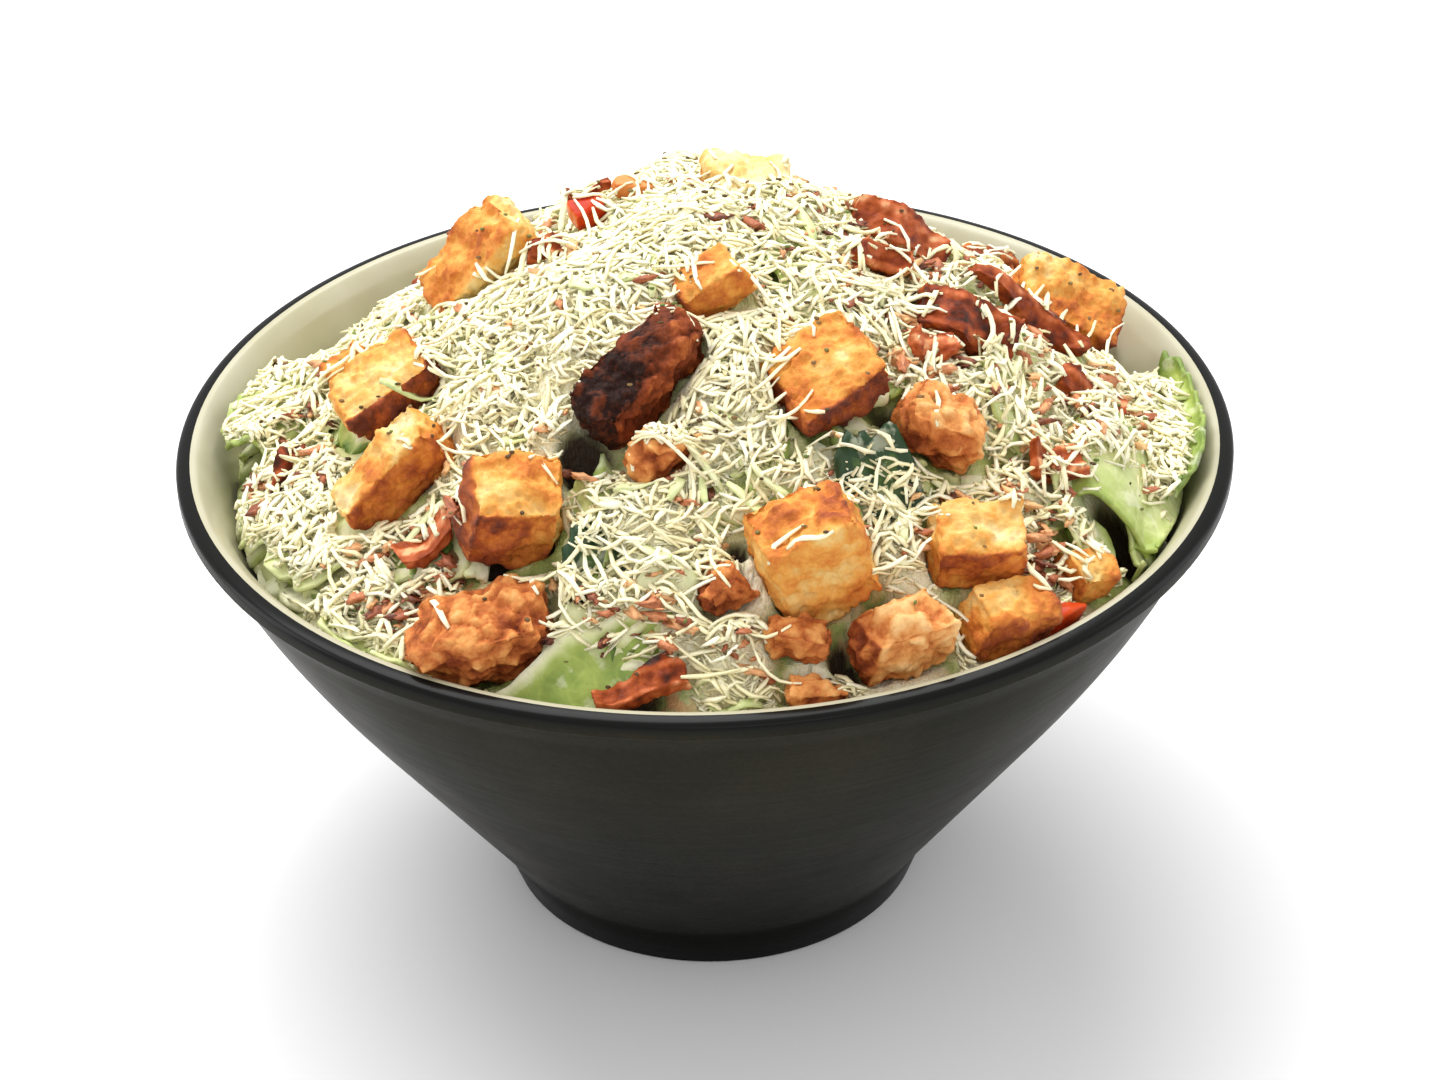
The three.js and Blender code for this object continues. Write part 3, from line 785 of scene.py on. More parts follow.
LEAF_GRAIN, SCRAP_GRAIN = 0.9, 1.2  # size of the faces
ARCHED = {"sink": 0, "rise": 1, "bend": -180, "ruffle": 0.6, "frill": 0.3}
SMOOTH = {"ruffle": 0.5, "frill": 0.3}
CURLED = {"ruffle": 1.6, "frill": 1.1}
LEAVES = [
    Leaf(-21, -84, 40, 12, 14, seed=1, lift=2.2, rise=-0.5, bend=40, green=0.86, rib=1.0, **SMOOTH),
    Leaf(74.5, -32, 24, 24, 80, seed=2, lift=7.4, green=0.5, **ARCHED),
    Leaf(83, -33, 26, 19, 84, seed=3, lift=6.4, green=0.55, **ARCHED),
    Leaf(86, -3, 54, 18, 266, seed=4, lift=3.4, sink=4, rise=10, green=0.6, rib=-0.6, frill=0.5),
    Leaf(63, -24, 32, 24, 60, seed=5, lift=1.5, green=0.35),
    Leaf(-81, 8, 38, 20, 84, seed=6, lift=3.6, rise=8, ruffle=1.6, green=0.5),
    Leaf(-72, -34, 40, 22, 115, seed=7, lift=2.4, rise=3.5, ruffle=1.6, green=0.3),
    Leaf(-56, -67, 28, 15, 140, seed=8, lift=2.4, green=0.35),
    Leaf(-15, -77.5, 28, 7, 12, seed=9, lift=2.6, rise=1, green=0.14, ruffle=1.2, frill=1.2),
    Leaf(30, -56, 15, 11, 20, seed=10, lift=2.4, bend=70, green=1.25, **CURLED),
    Leaf(-20, -71, 13, 11, 65, seed=11, lift=2.2, bend=60, green=1.3, **CURLED),
    Leaf(26, 2, 32, 20, 30, seed=12, lift=1.0, green=0.35),
    Leaf(-3, 50, 36, 26, 172, seed=13, lift=-1.2, ruffle=1.6, green=0.45, rib=0.1),
    Leaf(66.5, -46, 18, 9, 98, seed=16, lift=3.0, sink=4, rise=2.5, green=0.3, frill=0.3),
    Leaf(79.5, -44, 13, 6, 100, seed=17, lift=3.0, sink=2, rise=2, green=0.36, frill=0.3),
    Leaf(-58, 50, 38, 22, 225, seed=14, lift=0.5, rise=2, ruffle=1.4, green=0.55),
    Leaf(60, 50, 36, 20, 132, seed=15, lift=0.5, rise=2, ruffle=1.4, green=0.4),
]
leaves_shape = bmesh.new()
for leaf in LEAVES:
    lay_leaf(leaves_shape, leaf, LEAF_GRAIN)
print("large leaves:", len(LEAVES), "with", len(leaves_shape.faces), "faces")

# %% Scraps of romaine between them
SCRAP_COUNT = 520
SCATTER_REACH = 88  # scraps and flecks fall within this distance of the middle
chance = np.random.default_rng(12)


def random_scrap(seed):
    """A small torn piece at a random place, a little more often towards the rim."""
    turn = chance.uniform(0, 2 * math.pi)
    reach = SCATTER_REACH * chance.uniform(0, 1) ** 0.45
    green = chance.choice([0.12, 0.28, 0.4, 0.55, 0.75], p=[0.2, 0.3, 0.25, 0.17, 0.08])
    return Leaf(
        reach * math.cos(turn), reach * math.sin(turn), chance.uniform(7, 16), chance.uniform(5, 9),
        chance.uniform(0, 360), seed=seed, sink=chance.uniform(1.5, 3.5), rise=chance.uniform(0, 2.2),
        bend=chance.uniform(-80, 80), ruffle=chance.uniform(0.2, 0.7), green=green,
        rib=chance.choice([-0.7, 0.0, 0.6, 9.0]), frill=chance.uniform(0.1, 0.5),
    )


def crosses_topping(leaf):
    """Whether any of a leaf's chief points lies within a topping."""
    return any(inside_topping(on_leaf(leaf, u / 4, v / 2)) for u in range(-4, 5) for v in range(-2, 3))


scraps_shape = bmesh.new()
scraps = 0
for seed in range(20, 20 + 6 * SCRAP_COUNT):
    scrap = random_scrap(seed)
    buried = cheese_depth(scrap.x, scrap.y) > chance.uniform(3.0, 5.5)
    in_gap = hollow(scrap.x, scrap.y) > 0.6
    if scraps < SCRAP_COUNT and not buried and not in_gap and not crosses_topping(scrap):
        lay_leaf(scraps_shape, scrap, SCRAP_GRAIN)
        scraps += 1
print("scraps:", scraps, "with", len(scraps_shape.faces), "faces")

# %% [markdown]
# The blade's colour is one ramp from the white of the rib to the dark green of an outer leaf. Each
# corner carries how green it is, and noise moves that up and down. Veins are the borders between many
# small cells, as on a real blistered leaf. Dressing clings in pale thin patches, glossier than the leaf.

# %% Romaine finish
GREENS = [
    (0.0, tint(240, 238, 204)),
    (0.3, tint(214, 220, 156)),
    (0.55, tint(164, 182, 88)),
    (0.8, tint(100, 130, 50)),
    (1.0, tint(34, 64, 32)),
]


def romaine_finish():
    """Moist blistered leaf with dressing on it."""
    finish = Finish("romaine", Specular_IOR_Level=0.4)
    blisters = finish.cells(4.2, "DISTANCE_TO_EDGE")
    veins = 1 - blisters.above(0.0, 0.12)
    patch = finish.noise(6, 3)
    level = finish.carried("green") + (patch - 0.5) * 0.5 - veins * 0.05
    dressing = finish.noise(5, 4).above(0.56, 0.06) * 0.35
    blade = finish.ramp(level, GREENS)
    finish.drive("Base Color", finish.mixed(dressing, blade, tint(238, 238, 210)))
    finish.drive("Roughness", 0.5 - dressing * 0.3)
    finish.bump(blisters.above(0.0, 0.4) * 0.4 + finish.noise(1.6, 3) * 0.6, 0.45)
    return finish.material


romaine = romaine_finish()
leaves = settle(leaves_shape, "romaine_leaves", [romaine], ["salad"])
scrap_piece = settle(scraps_shape, "romaine_scraps", [romaine], ["salad"])
print("leaves:", triangles(leaves), "and scraps:", triangles(scrap_piece), "triangles")

# %% [markdown]
# The bed's finish follows what its corners carry. Where nothing covers it, it is romaine in all its
# greens, browned where fried crumbs gather. Where the cheese is thick, it is cheese, and two noises
# drawn out along and across give it the look of packed strands. In a gap it is painted deep brown, as
# shade.

# %% Bed finish
bed_finish = Finish("dressed romaine bed", Specular_IOR_Level=0.3, Roughness=0.6)
bed_tone = bed_finish.noise(7, 4)
bed_stops = [(0.3, tint(82, 92, 42)), (0.45, tint(152, 164, 88)), (0.62, tint(220, 222, 166))]
bed_greens = bed_finish.ramp(bed_tone, bed_stops)
bed_browns = bed_finish.ramp(bed_tone, [(0.35, tint(150, 84, 50)), (0.6, tint(214, 160, 110))])
fried = bed_finish.carried("crumbed") * bed_finish.noise(3.5, 3).above(0.44, 0.1)
bed_mix = bed_finish.mixed(fried, bed_greens, bed_browns)
strands = bed_finish.noise(1.1, 2, (1, 3.5, 1)) + bed_finish.noise(1.1, 2, (3.5, 1, 1))
bed_cheese = bed_finish.ramp(strands * 0.5, [(0.36, tint(232, 220, 172)), (0.56, tint(254, 249, 222))])
bed_top = bed_finish.mixed(bed_finish.carried("covered"), bed_mix, bed_cheese)
# Painted shade: in a gap the bed is coloured deep brown for the shadow that falls there.
bed_finish.drive("Base Color", bed_finish.mixed(bed_finish.carried("gap"), bed_top, tint(46, 34, 18)))
bed_finish.bump(bed_finish.noise(2.4, 4) * 0.5 + strands * 0.35, 1.0)
bed = settle(bed_shape, "romaine_bed", [bed_finish.material], ["salad"])
print("bed:", triangles(bed), "triangles")

# %% [markdown]
# ## Toppings from their own solids
# A topping's plain solid has the right place, size and cut, but few faces. A merged copy goes
# through a voxel Remesh, which covers it evenly with small faces however it was cut. Then each corner
# moves along its own normal by a depth that the food decides, and carries how browned it is. The
# relief goes mostly inwards, so that the small gaps between neighbours stay.

# %% Fine copies and relief


def fine_copy(name, voxel):
    """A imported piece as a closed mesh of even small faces, in millimetres."""
    plain = bmesh.new()
    plain.from_mesh(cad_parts[name].data)
    bmesh.ops.remove_doubles(plain, verts=plain.verts, dist=0.01 * MM)
    bmesh.ops.scale(plain, vec=(1 / MM, 1 / MM, 1 / MM), verts=plain.verts)
    mesh = bpy.data.meshes.new("plain")
    plain.to_mesh(mesh)
    plain.free()
    holder = bpy.data.objects.new("plain", mesh)
    bpy.context.scene.collection.objects.link(holder)
    remesh = holder.modifiers.new("small faces", "REMESH")
    remesh.mode = "VOXEL"
    remesh.voxel_size = voxel
    fine = bmesh.new()
    fine.from_object(holder, bpy.context.evaluated_depsgraph_get())
    bpy.data.objects.remove(holder)
    bpy.data.meshes.remove(mesh)
    return fine


def soften(shape, times):
    """Smooths a shape gently, some times over."""
    axes = {"use_axis_x": True, "use_axis_y": True, "use_axis_z": True}
    for _ in range(times):
        bmesh.ops.smooth_vert(shape, verts=shape.verts, factor=0.5, **axes)


SHARP = 0.35  # a corner that stands out this far is on a sharp edge


def edge_share(shape, reach):
    """For each corner, how far it stands out from its smoothed surroundings: 1 on a sharp edge."""
    smoothed = shape.copy()
    soften(smoothed, reach)
    pairs = zip(shape.verts, smoothed.verts)
    stands_out = [(vert.co - other.co).dot(vert.normal) for vert, other in pairs]
    smoothed.free()
    return [min(max(out / SHARP, 0), 1) for out in stands_out]


def pore(point, size, share):
    """1 in the middle of a pore and 0 outside it. share is how many of the pores are open."""
    distances, centres = noise.voronoi(point / size)
    opened = noise.cell(centres[0] * 9.7) < share
    return max(1 - (distances[0] / 0.45) ** 2, 0) if opened else 0


def wear(shape, name, values):
    """Lets each corner carry one value from 0 to 1."""
    layer = shape.verts.layers.float.new(name)
    for vert, value in zip(shape.verts, values):
        vert[layer] = min(max(value, 0), 1)


def press(shape, depths):
    """Moves each corner out along its normal by its depth in millimetres."""
    moved = [vert.co + vert.normal * depth for vert, depth in zip(shape.verts, depths)]
    for vert, moved_to in zip(shape.verts, moved):
        vert.co = moved_to


# One voxel size and a few rounds of smoothing for each food. Crisp food keeps sharper edges.
CROUTON_VOXEL, CROUTON_ROUNDS, EDGE_ROUNDS = 0.5, 5, 6
CHICKEN_VOXEL, CHICKEN_ROUNDS = 0.45, 3
BACON_VOXEL, BACON_ROUNDS = 0.4, 2
TOMATO_VOXEL, TOMATO_ROUNDS = 0.4, 4


# %% [markdown]
# ## Croutons
# A crouton is a torn or cut cube of bread, fried or baked. Its crumb is open, with pores of all sizes.
# Edges and the side that lay on the tray brown first, so each one has its own depth of colour. Its dark
# side is partly that toasting and partly painted shade, mostly on the side turned down. Pores are small
# pits, and their floors stay pale.

# %% Croutons
# For each crouton: how toasted it is, the side that is darker, from toasting and from painted shade, and
# by how much.
TOAST_AND_SHADE = {
    "crouton_1": (0.02, (-1, 0, 0.3), 0.3),
    "crouton_2": (0.14, (-0.8, 0.4, 0.3), 0.5),
    "crouton_3": (0.3, (0.8, -0.5, -0.2), 0.7),
    "crouton_4": (0.3, (0.7, -0.6, -0.3), 0.4),
    "crouton_5": (0.38, (-0.8, -0.5, -0.6), 0.5),
    "crouton_6": (0.34, (-0.4, -0.8, -0.4), 0.4),
    "crouton_7": (0.46, (0.2, -0.9, -0.5), 0.46),
    "crouton_8": (0.42, (-0.5, 0.4, 0.9), 0.22),
    "crouton_9": (0.36, (0.2, -0.9, -0.6), 0.35),
    "crouton_10": (0.42, (0.5, -0.8, -0.4), 0.3),
    "crouton_11": (0.34, (0.6, -0.5, -0.5), 0.4),
    "crouton_12": (0.38, (-0.5, -0.5, -0.4), 0.3),
    "crouton_13": (0.32, (0.3, 0.9, -0.4), 0.35),
    "crouton_14": (0.26, (-0.5, 0.8, -0.3), 0.4),
    "crouton_15": (0.3, (-0.8, 0.2, -0.2), 0.3),
}


def bake_crouton(name, finish):
    """A crouton with open pores, browned on its edges, and darker on one side from toasting and painted
    shade.
    """
    toasted, side, more = TOAST_AND_SHADE[name]
    side = Vector(side).normalized()
    shape = fine_copy(name, CROUTON_VOXEL)
    soften(shape, CROUTON_ROUNDS)
    edges = edge_share(shape, EDGE_ROUNDS)
    depths, brown = [], []
    for vert, edge in zip(shape.verts, edges):
        point = vert.co
        hole = max(pore(point, 2.8, 0.5), 0.6 * pore(point + Vector((9, 3, 5)), 1.6, 0.6))
        dent = noise.noise(point / 7)
        crumb = noise.fractal(point / 3.2, 0.9, 2.1, 3)
        depths.append(1.7 * dent + 0.65 * crumb - 1.0 * hole - 0.25)
        # The darker side: partly toasting and partly painted shade, mostly on the side turned down.
        darkening = more * fade(vert.normal.dot(side), -0.3, 0.9)
        patchy = noise.fractal(point / 9 + Vector((3, 8, 1)), 0.8, 2.2, 3)
        brown.append(toasted + darkening + 0.18 * edge + 0.3 * patchy + 0.15 * crumb - 0.15 * hole)
    wear(shape, "toast", brown)
    press(shape, depths)
    return settle(shape, "toasted_" + name, [finish], [name])


TOASTS = [
    (0.0, tint(240, 218, 164)),
    (0.2, tint(233, 192, 116)),
    (0.4, tint(228, 160, 72)),
    (0.58, tint(206, 120, 46)),
    (0.78, tint(160, 76, 32)),
    (1.0, tint(92, 40, 24)),
]


def toast_finish():
    """Dry bread that runs from pale crumb to dark toast, whose darker tones also stand for painted shade.
    """
    finish = Finish("toasted bread", Roughness=0.72, Specular_IOR_Level=0.3)
    finish.toned("toast", TOASTS, (5, 3, 0.34), (0.8, 3, 0.3))
    finish.bump(finish.noise(0.8, 3) * 0.6 + finish.noise(0.35, 2) * 0.4, 0.3)
    return finish.material


toasted_bread = toast_finish()
croutons = [bake_crouton(name, toasted_bread) for name in TOAST_AND_SHADE]
print("croutons:", len(croutons), "with", sum(map(triangles, croutons)), "triangles")

# %% [markdown]
# ## Crisp chicken
# The chicken is crumbed and fried, then cut. Its coat is a crust of crumbs stuck in clumps, and the gaps
# between them are painted darker as shade. One side of each piece is painted darker too, as shade, nearly
# black where it is deepest. The clumps are bumps round scattered points at two sizes, on top of broad
# crags.

# %% Chicken
# For each piece: how brown it is, the side that is painted darker as shade, and by how much.
FRYING_AND_SHADE = {
    "chicken_1": (0.52, (-0.8, -0.6, -0.2), 0.7),
    "chicken_2": (0.25, (0.4, 0.2, -0.8), 0.3),
    "chicken_3": (0.08, (-0.8, -0.3, -0.3), 0.3),
    "chicken_4": (0.02, (-0.9, -0.2, -0.2), 0.5),
    "chicken_5": (0.12, (0, -1, -0.4), 0.2),
    "chicken_6": (0.2, (0.5, 0, -0.8), 0.25),
    "chicken_7": (0.16, (0, -0.6, -0.6), 0.2),
    "chicken_8": (0.26, (-0.5, 0, -0.5), 0.3),
    "chicken_9": (0.34, (0.3, 0.8, -0.5), 0.3),
    "chicken_10": (0.4, (0.6, 0.5, -0.5), 0.3),
}


def clump(point, size):
    """A rounded lump round each of many scattered points: 1 on its top and 0 in the gaps."""
    distances, centres = noise.voronoi(point / size)
    height = 0.6 + 0.4 * noise.cell(centres[0] * 9.7)
    return height * max(1 - (distances[0] / 0.75) ** 2, 0)


def fry_chicken(name, finish):
    """A piece of chicken under its crust of stuck crumbs."""
    darkening, side, more = FRYING_AND_SHADE[name]
    side = Vector(side).normalized()
    shape = fine_copy(name, CHICKEN_VOXEL)
    soften(shape, CHICKEN_ROUNDS)
    depths, brown = [], []
    for vert in shape.verts:
        point = vert.co
        warped = point + noise.noise_vector(point / 3.4) * 2.0
        large = clump(warped, 3.6)
        small = clump(warped + Vector((5, 8, 2)), 1.7)
        crag = noise.fractal(point / 6, 0.8, 2.2, 3)
        depths.append(1.3 * crag + 1.1 * large + 0.5 * small - 1.15)
        # Painted shade: the piece's darker side, and the gaps between clumps, whose tops stay lighter.
        shadow = more * fade(vert.normal.dot(side), -0.1, 0.9)
        brown.append(darkening + shadow - 0.36 * large - 0.16 * small - 0.15 * crag + 0.34)
    wear(shape, "brown", brown)
    press(shape, depths)
    return settle(shape, "crisp_" + name, [finish], [name])


BROWNS = [
    (0.0, tint(240, 192, 130)),
    (0.22, tint(224, 155, 88)),
    (0.42, tint(192, 110, 56)),
    (0.64, tint(134, 62, 30)),
    (1.0, tint(36, 16, 10)),
]


def crust_finish():
    """Fried crumb that runs from golden to nearly black, the darkest browns standing for painted shade.
    """
    finish = Finish("fried crumb", Specular_IOR_Level=0.1)
    finish.toned("brown", BROWNS, (4, 3, 0.4), (0.7, 3, 0.3))
    grain = finish.noise(0.7, 3)
    finish.drive("Roughness", 0.42 + grain * 0.3)
    finish.bump(grain * 0.6 + finish.noise(0.4, 2) * 0.4, 0.3)
    return finish.material


fried_crumb = crust_finish()
chicken = [fry_chicken(name, fried_crumb) for name in FRYING_AND_SHADE]
print("chicken:", len(chicken), "pieces with", sum(map(triangles, chicken)), "triangles")

# %% [markdown]
# ## Bacon
# A rasher is striped along its length: red-brown lean that fries dark, and pink fat that
# stays lighter and swells. The stripes follow the piece and not the table, so each corner carries its
# place across the rasher, measured along the piece's own middle axis.

# %% Bacon
# For each piece: how dark the lean is and how much of the width is fat.
RASHERS = {
    "bacon_1": (0.4, 0.15),
    "bacon_2": (0.6, 0.1),
    "bacon_3": (0.5, 0.12),
    "bacon_4": (0.42, 0.2),
    "bacon_5": (0.36, 0.3),
    "bacon_6": (0.3, 0.4),
    "bacon_7": (0.5, 0.2),
    "bacon_8": (0.62, 0.12),
    "bacon_9": (0.5, 0.2),
    "bacon_10": (0.42, 0.3),
    "bacon_11": (0.45, 0.25),
    "bacon_12": (0.45, 0.3),
    "bacon_13": (0.3, 0.4),
    "bacon_14": (0.6, 0.3),
}


def own_axes(shape):
    """The middle of a shape and its longest, middle and shortest directions."""
    corners = np.array([vert.co for vert in shape.verts])
    middle = corners.mean(axis=0)
    axes = np.linalg.svd(corners - middle, full_matrices=False)[2]
    return Vector(middle), [Vector(axis) for axis in axes]


def fry_bacon(name, finish):
    """A piece of rasher, striped with fat along its length."""
    dark, fat = RASHERS[name]
    shape = fine_copy(name, BACON_VOXEL)
    soften(shape, BACON_ROUNDS)
    middle, (along, across, _) = own_axes(shape)
    width = max(abs((vert.co - middle).dot(across)) for vert in shape.verts)
    depths, lean = [], []
    for vert in shape.verts:
        point = vert.co - middle
        wander = 0.35 * noise.noise(Vector((point.dot(along) / 6, len(name), dark * 9)))
        stripe = 0.5 + 0.5 * math.sin(5.2 * (point.dot(across) / width + wander) + 8 * dark)
        swollen = fade(stripe, 1 - fat - 0.25, 1 - fat + 0.25)
        crisp = noise.fractal(vert.co / 3, 0.9, 2.1, 3)
        crumble = clump(vert.co, 2.1)
        depths.append(0.2 * swollen + 0.35 * crisp + 0.5 * crumble - 0.5)
        lean.append(dark + 0.35 * crisp - 0.35 * swollen - 0.2 * crumble + 0.22)
    wear(shape, "lean", lean)
    press(shape, depths)
    return settle(shape, "fried_" + name, [finish], [name])


LEANS = [
    (0.0, tint(234, 176, 126)),
    (0.2, tint(200, 112, 70)),
    (0.42, tint(168, 80, 36)),
    (0.65, tint(132, 54, 22)),
    (0.85, tint(86, 36, 20)),
    (1.0, tint(44, 26, 18)),
]


def bacon_finish():
    """Fried bacon from pale fat to dark lean."""
    finish = Finish("fried bacon", Specular_IOR_Level=0.15)
    finish.toned("lean", LEANS, (3, 3, 0.35))
    finish.drive("Roughness", 0.36 + finish.noise(3, 3) * 0.3)
    finish.bump(finish.noise(0.8, 3), 0.25)
    return finish.material


fried_bacon = bacon_finish()
bacon = [fry_bacon(name, fried_bacon) for name in RASHERS]
print("bacon:", len(bacon), "pieces with", sum(map(triangles, bacon)), "triangles")

# %% [markdown]
# ## Tomato
# The tomato is diced: a glossy skin on one side, wet flesh that is a little paler on the others. Broad
# soft relief is enough, since the gloss shows every dent.

# %% Tomato
# How far each is from red skin towards pale orange flesh.
TOMATOES = {"tomato_1": 0.2, "tomato_2": 1.1, "tomato_3": 0.3}


def dice_tomato(name, finish):
    """A dice of tomato with soft dents, its flesh on the side towards -X."""
    shape = fine_copy(name, TOMATO_VOXEL)
    soften(shape, TOMATO_ROUNDS)
    depths, flesh = [], []
    for vert in shape.verts:
        dent = noise.fractal(vert.co / 3.4, 1.0, 2.0, 2)
        depths.append(0.3 * dent - 0.1)
        flesh.append(TOMATOES[name] + 0.3 * dent + 0.7 * fade(-vert.normal.x, 0.4, 0.9))
    wear(shape, "flesh", flesh)
    press(shape, depths)
    return settle(shape, "diced_" + name, [finish], [name])


tomato_finish = Finish("tomato", Specular_IOR_Level=0.15)
tomato_stops = [(0.0, tint(178, 38, 8)), (0.4, tint(204, 70, 18)), (1.0, tint(222, 140, 76))]
tomato_finish.toned("flesh", tomato_stops, (2.5, 3, 0.4))
tomato_finish.drive("Roughness", 0.2 + tomato_finish.noise(2, 2) * 0.2)
tomato_finish.bump(tomato_finish.noise(1.2, 3), 0.1)
tomatoes = [dice_tomato(name, tomato_finish.material) for name in TOMATOES]
print("tomato:", len(tomatoes), "pieces with", sum(map(triangles, tomatoes)), "triangles")

# %% [markdown]
# ## What the small things fall on
# Thousands of strands can't be placed by hand, and strands that cut through a crouton look wrong at
# once. So the top of everything so far is read into a map of heights. A strand is laid on the map,
# bridging dips because cheese is stiff, and then raises the map where it lies. The next one lands
# on it, and the pile grows as a real one does. A second map says how much a place sheds what falls on it:
# toppings shed most, each by its own share, and so do some bare leaves. A third says how high the pile
# may grow there, and a fourth where the heap's flank is. The flank is steep and seen from the side, so
# it takes more layers.

# %% What sheds the cheese
SHEDDING = {
    "crouton": 0.93,
    "crouton_1": 0.98,
    "chicken": 0.92,
    "chicken_4": 0.94,
    "chicken_5": 0.75,
    "bacon": 0.94,
    "tomato": 0.98,
}
# Leaves that stay bare: middle, radius and share shed.
BARE = [
    (-33, -90, 7, 0.95),
    (-24, -88, 8, 0.95),
    (-14, -87, 6, 0.9),
    (75, -40, 8, 0.8),
    (85, -40, 7, 0.85),
    (90, -4, 7, 0.75),
    (90, 8, 7, 0.6),
    (-83, 8, 10, 0.85),
    (30, -55, 6, 0.6),
    (-20, -70, 5, 0.7),
]
print("shedding:", len(SHEDDING), "kinds of topping and", len(BARE), "bare places")

# %% Maps of the heap
CELL = 0.6
MAP_REACH = 98
CELLS = round(2 * MAP_REACH / CELL)
SKY = 200  # rays fall from here
LOWEST_GROUND = 60  # nothing is laid on what lies lower
ON_TOPPING = 1.5  # how deep below the highest thing a topping still counts as what is hit
FLANK_START, FLANK_END = 58, 82
everything = search_tree([bed, leaves, scrap_piece, *croutons, *chicken, *bacon, *tomatoes])


def middles():
    """Row, column and place of each cell that lies over the heap."""
    for row in range(CELLS):
        for column in range(CELLS):
            x = (column + 0.5) * CELL - MAP_REACH
            y = (row + 0.5) * CELL - MAP_REACH
            if math.hypot(x, y) < HEAP_RADIUS + 3:
                yield row, column, x, y


def shed_at(x, y, top):
    """The share of what falls on a place that doesn't stay there."""
    found, _, face, _ = toppings_tree.ray_cast(Vector((x, y, SKY)), -UP)
    if found and found.z > top - ON_TOPPING:
        owner = owners[face]
        return SHEDDING.get(owner, SHEDDING[owner.split("_")[0]])
    bare = [share for mx, my, radius, share in BARE if math.hypot(x - mx, y - my) < radius]
    return max(bare, default=0)


heights = np.zeros((CELLS, CELLS))
shed = np.zeros((CELLS, CELLS))
limits = np.zeros((CELLS, CELLS))
flank = np.zeros((CELLS, CELLS))
for row, column, x, y in middles():
    found = everything.ray_cast(Vector((x, y, SKY)), -UP)[0]
    if found:
        heights[row, column] = found.z
        shed[row, column] = shed_at(x, y, found.z)
        uneven = 1 + 0.25 * noise.noise(Vector((x, y, 7)) / 9)
        depth = cheese_depth(x, y) * uneven - hollow(x, y)
        limits[row, column] = max(bed_level(x, y) + depth, found.z + 0.7)
        flank[row, column] = fade(math.hypot(x, y), FLANK_START, FLANK_END)


def cells_at(x, y):
    """Rows and columns of the maps under some places."""
    column = np.clip(((x + MAP_REACH) / CELL).astype(int), 0, CELLS - 1)
    row = np.clip(((y + MAP_REACH) / CELL).astype(int), 0, CELLS - 1)
    return row, column


print("maps:", CELLS, "cells across, highest", round(heights.max(), 1), "mm")

# %% [markdown]
# ## Long thin things from one pattern
# A strand of cheese and a ribbon of romaine are both a box with cuts across its length, made once and
# bent along a path. The path comes to rest on the map, and every copy joins a single mesh.

# %% Coming to rest
STEEPEST = 1.0  # the most that a strand climbs for its length
ROOM_AT_WALL = 1.2
BOW, WIGGLE = 0.11, 0.07  # how far strands bend, as a share of their length
WIDEST_DROP = 0.7  # a strand bridges a drop up to this share of its length
OVER_SHARE = 0.3  # and may have this share of it over the ceiling


@dataclass
class Cut:
    """How one kind of strand is cut: the ranges of its sizes, its lift and its points along."""

    lengths: tuple
    widths: tuple
    thicknesses: tuple
    lift: float
    stations: int


def rest_path(x, y, length, thickness, cut, ceiling):
    """Points along one strand as it comes to rest on the maps, or None where it wouldn't stay."""
    stations = cut.stations
    heading = chance.uniform(0, math.pi)
    bow = chance.normal(0, BOW) * length
    wiggle = chance.normal(0, WIGGLE) * length
    share = np.linspace(-1, 1, stations)
    along = share * length / 2
    across = bow * (share * share - 0.4) + wiggle * (share**3 - share)
    px = x + along * math.cos(heading) - across * math.sin(heading)
    py = y + along * math.sin(heading) + across * math.cos(heading)
    under = cells_at(px, py)
    ground = heights[under]
    drop = ground.max() - ground.min()
    too_steep = ground.min() < LOWEST_GROUND or drop > WIDEST_DROP * length
    too_high = np.mean(ground > ceiling[under]) > OVER_SHARE
    if too_steep or too_high or chance.uniform() < 1.1 * shed[under].mean():
        return None
    pz = ground + thickness / 2 + cut.lift * chance.uniform(0, 1, stations)
    step = STEEPEST * length / (stations - 1)
    for i in range(1, stations):
        pz[i] = max(pz[i], pz[i - 1] - step)
    for i in range(stations - 2, -1, -1):
        pz[i] = max(pz[i], pz[i + 1] - step)
    for _ in range(2 if stations > 4 else 1):
        pz[1:-1] = (pz[:-2] + 2 * pz[1:-1] + pz[2:]) / 4 + 0.08
    walls = np.array([inside_radius(min(z, BOWL_HEIGHT)) for z in pz]) - ROOM_AT_WALL
    if np.any(np.hypot(px, py) > walls):
        return None
    return np.stack([px, py, pz], axis=1)


def raise_map(path, width, thickness):
    """Lets the map rise where a strand lies."""
    stations = len(path)
    share = np.linspace(0, stations - 1, 4 * stations)
    line = np.stack([np.interp(share, np.arange(stations), path[:, i]) for i in range(3)], axis=1)
    for offset in (-width / 3, width / 3):
        spot = cells_at(line[:, 0] + offset, line[:, 1] - offset)
        np.maximum.at(heights, spot, line[:, 2] + thickness * 0.45)


def lay(cut, tries, most, likely, ceiling):
    """Paths, widths and thicknesses of what stays out of many tries, up to most of them.

    likely gives a place its share, and little is laid on what already stands above the ceiling.
    """
    paths, sizes = [], []
    for _ in range(tries):
        x, y = chance.uniform(-HEAP_RADIUS, HEAP_RADIUS, 2)
        if len(paths) < most and math.hypot(x, y) < HEAP_RADIUS and chance.uniform() < likely(x, y):
            length = blend(*cut.lengths, chance.uniform() ** 2)
            width = chance.uniform(*cut.widths)
            thickness = chance.uniform(*cut.thicknesses)
            path = rest_path(x, y, length, thickness, cut, ceiling)
            if path is not None:
                raise_map(path, width, thickness)
                paths.append(path)
                sizes.append((width, thickness))
    return np.array(paths), np.array(sizes)


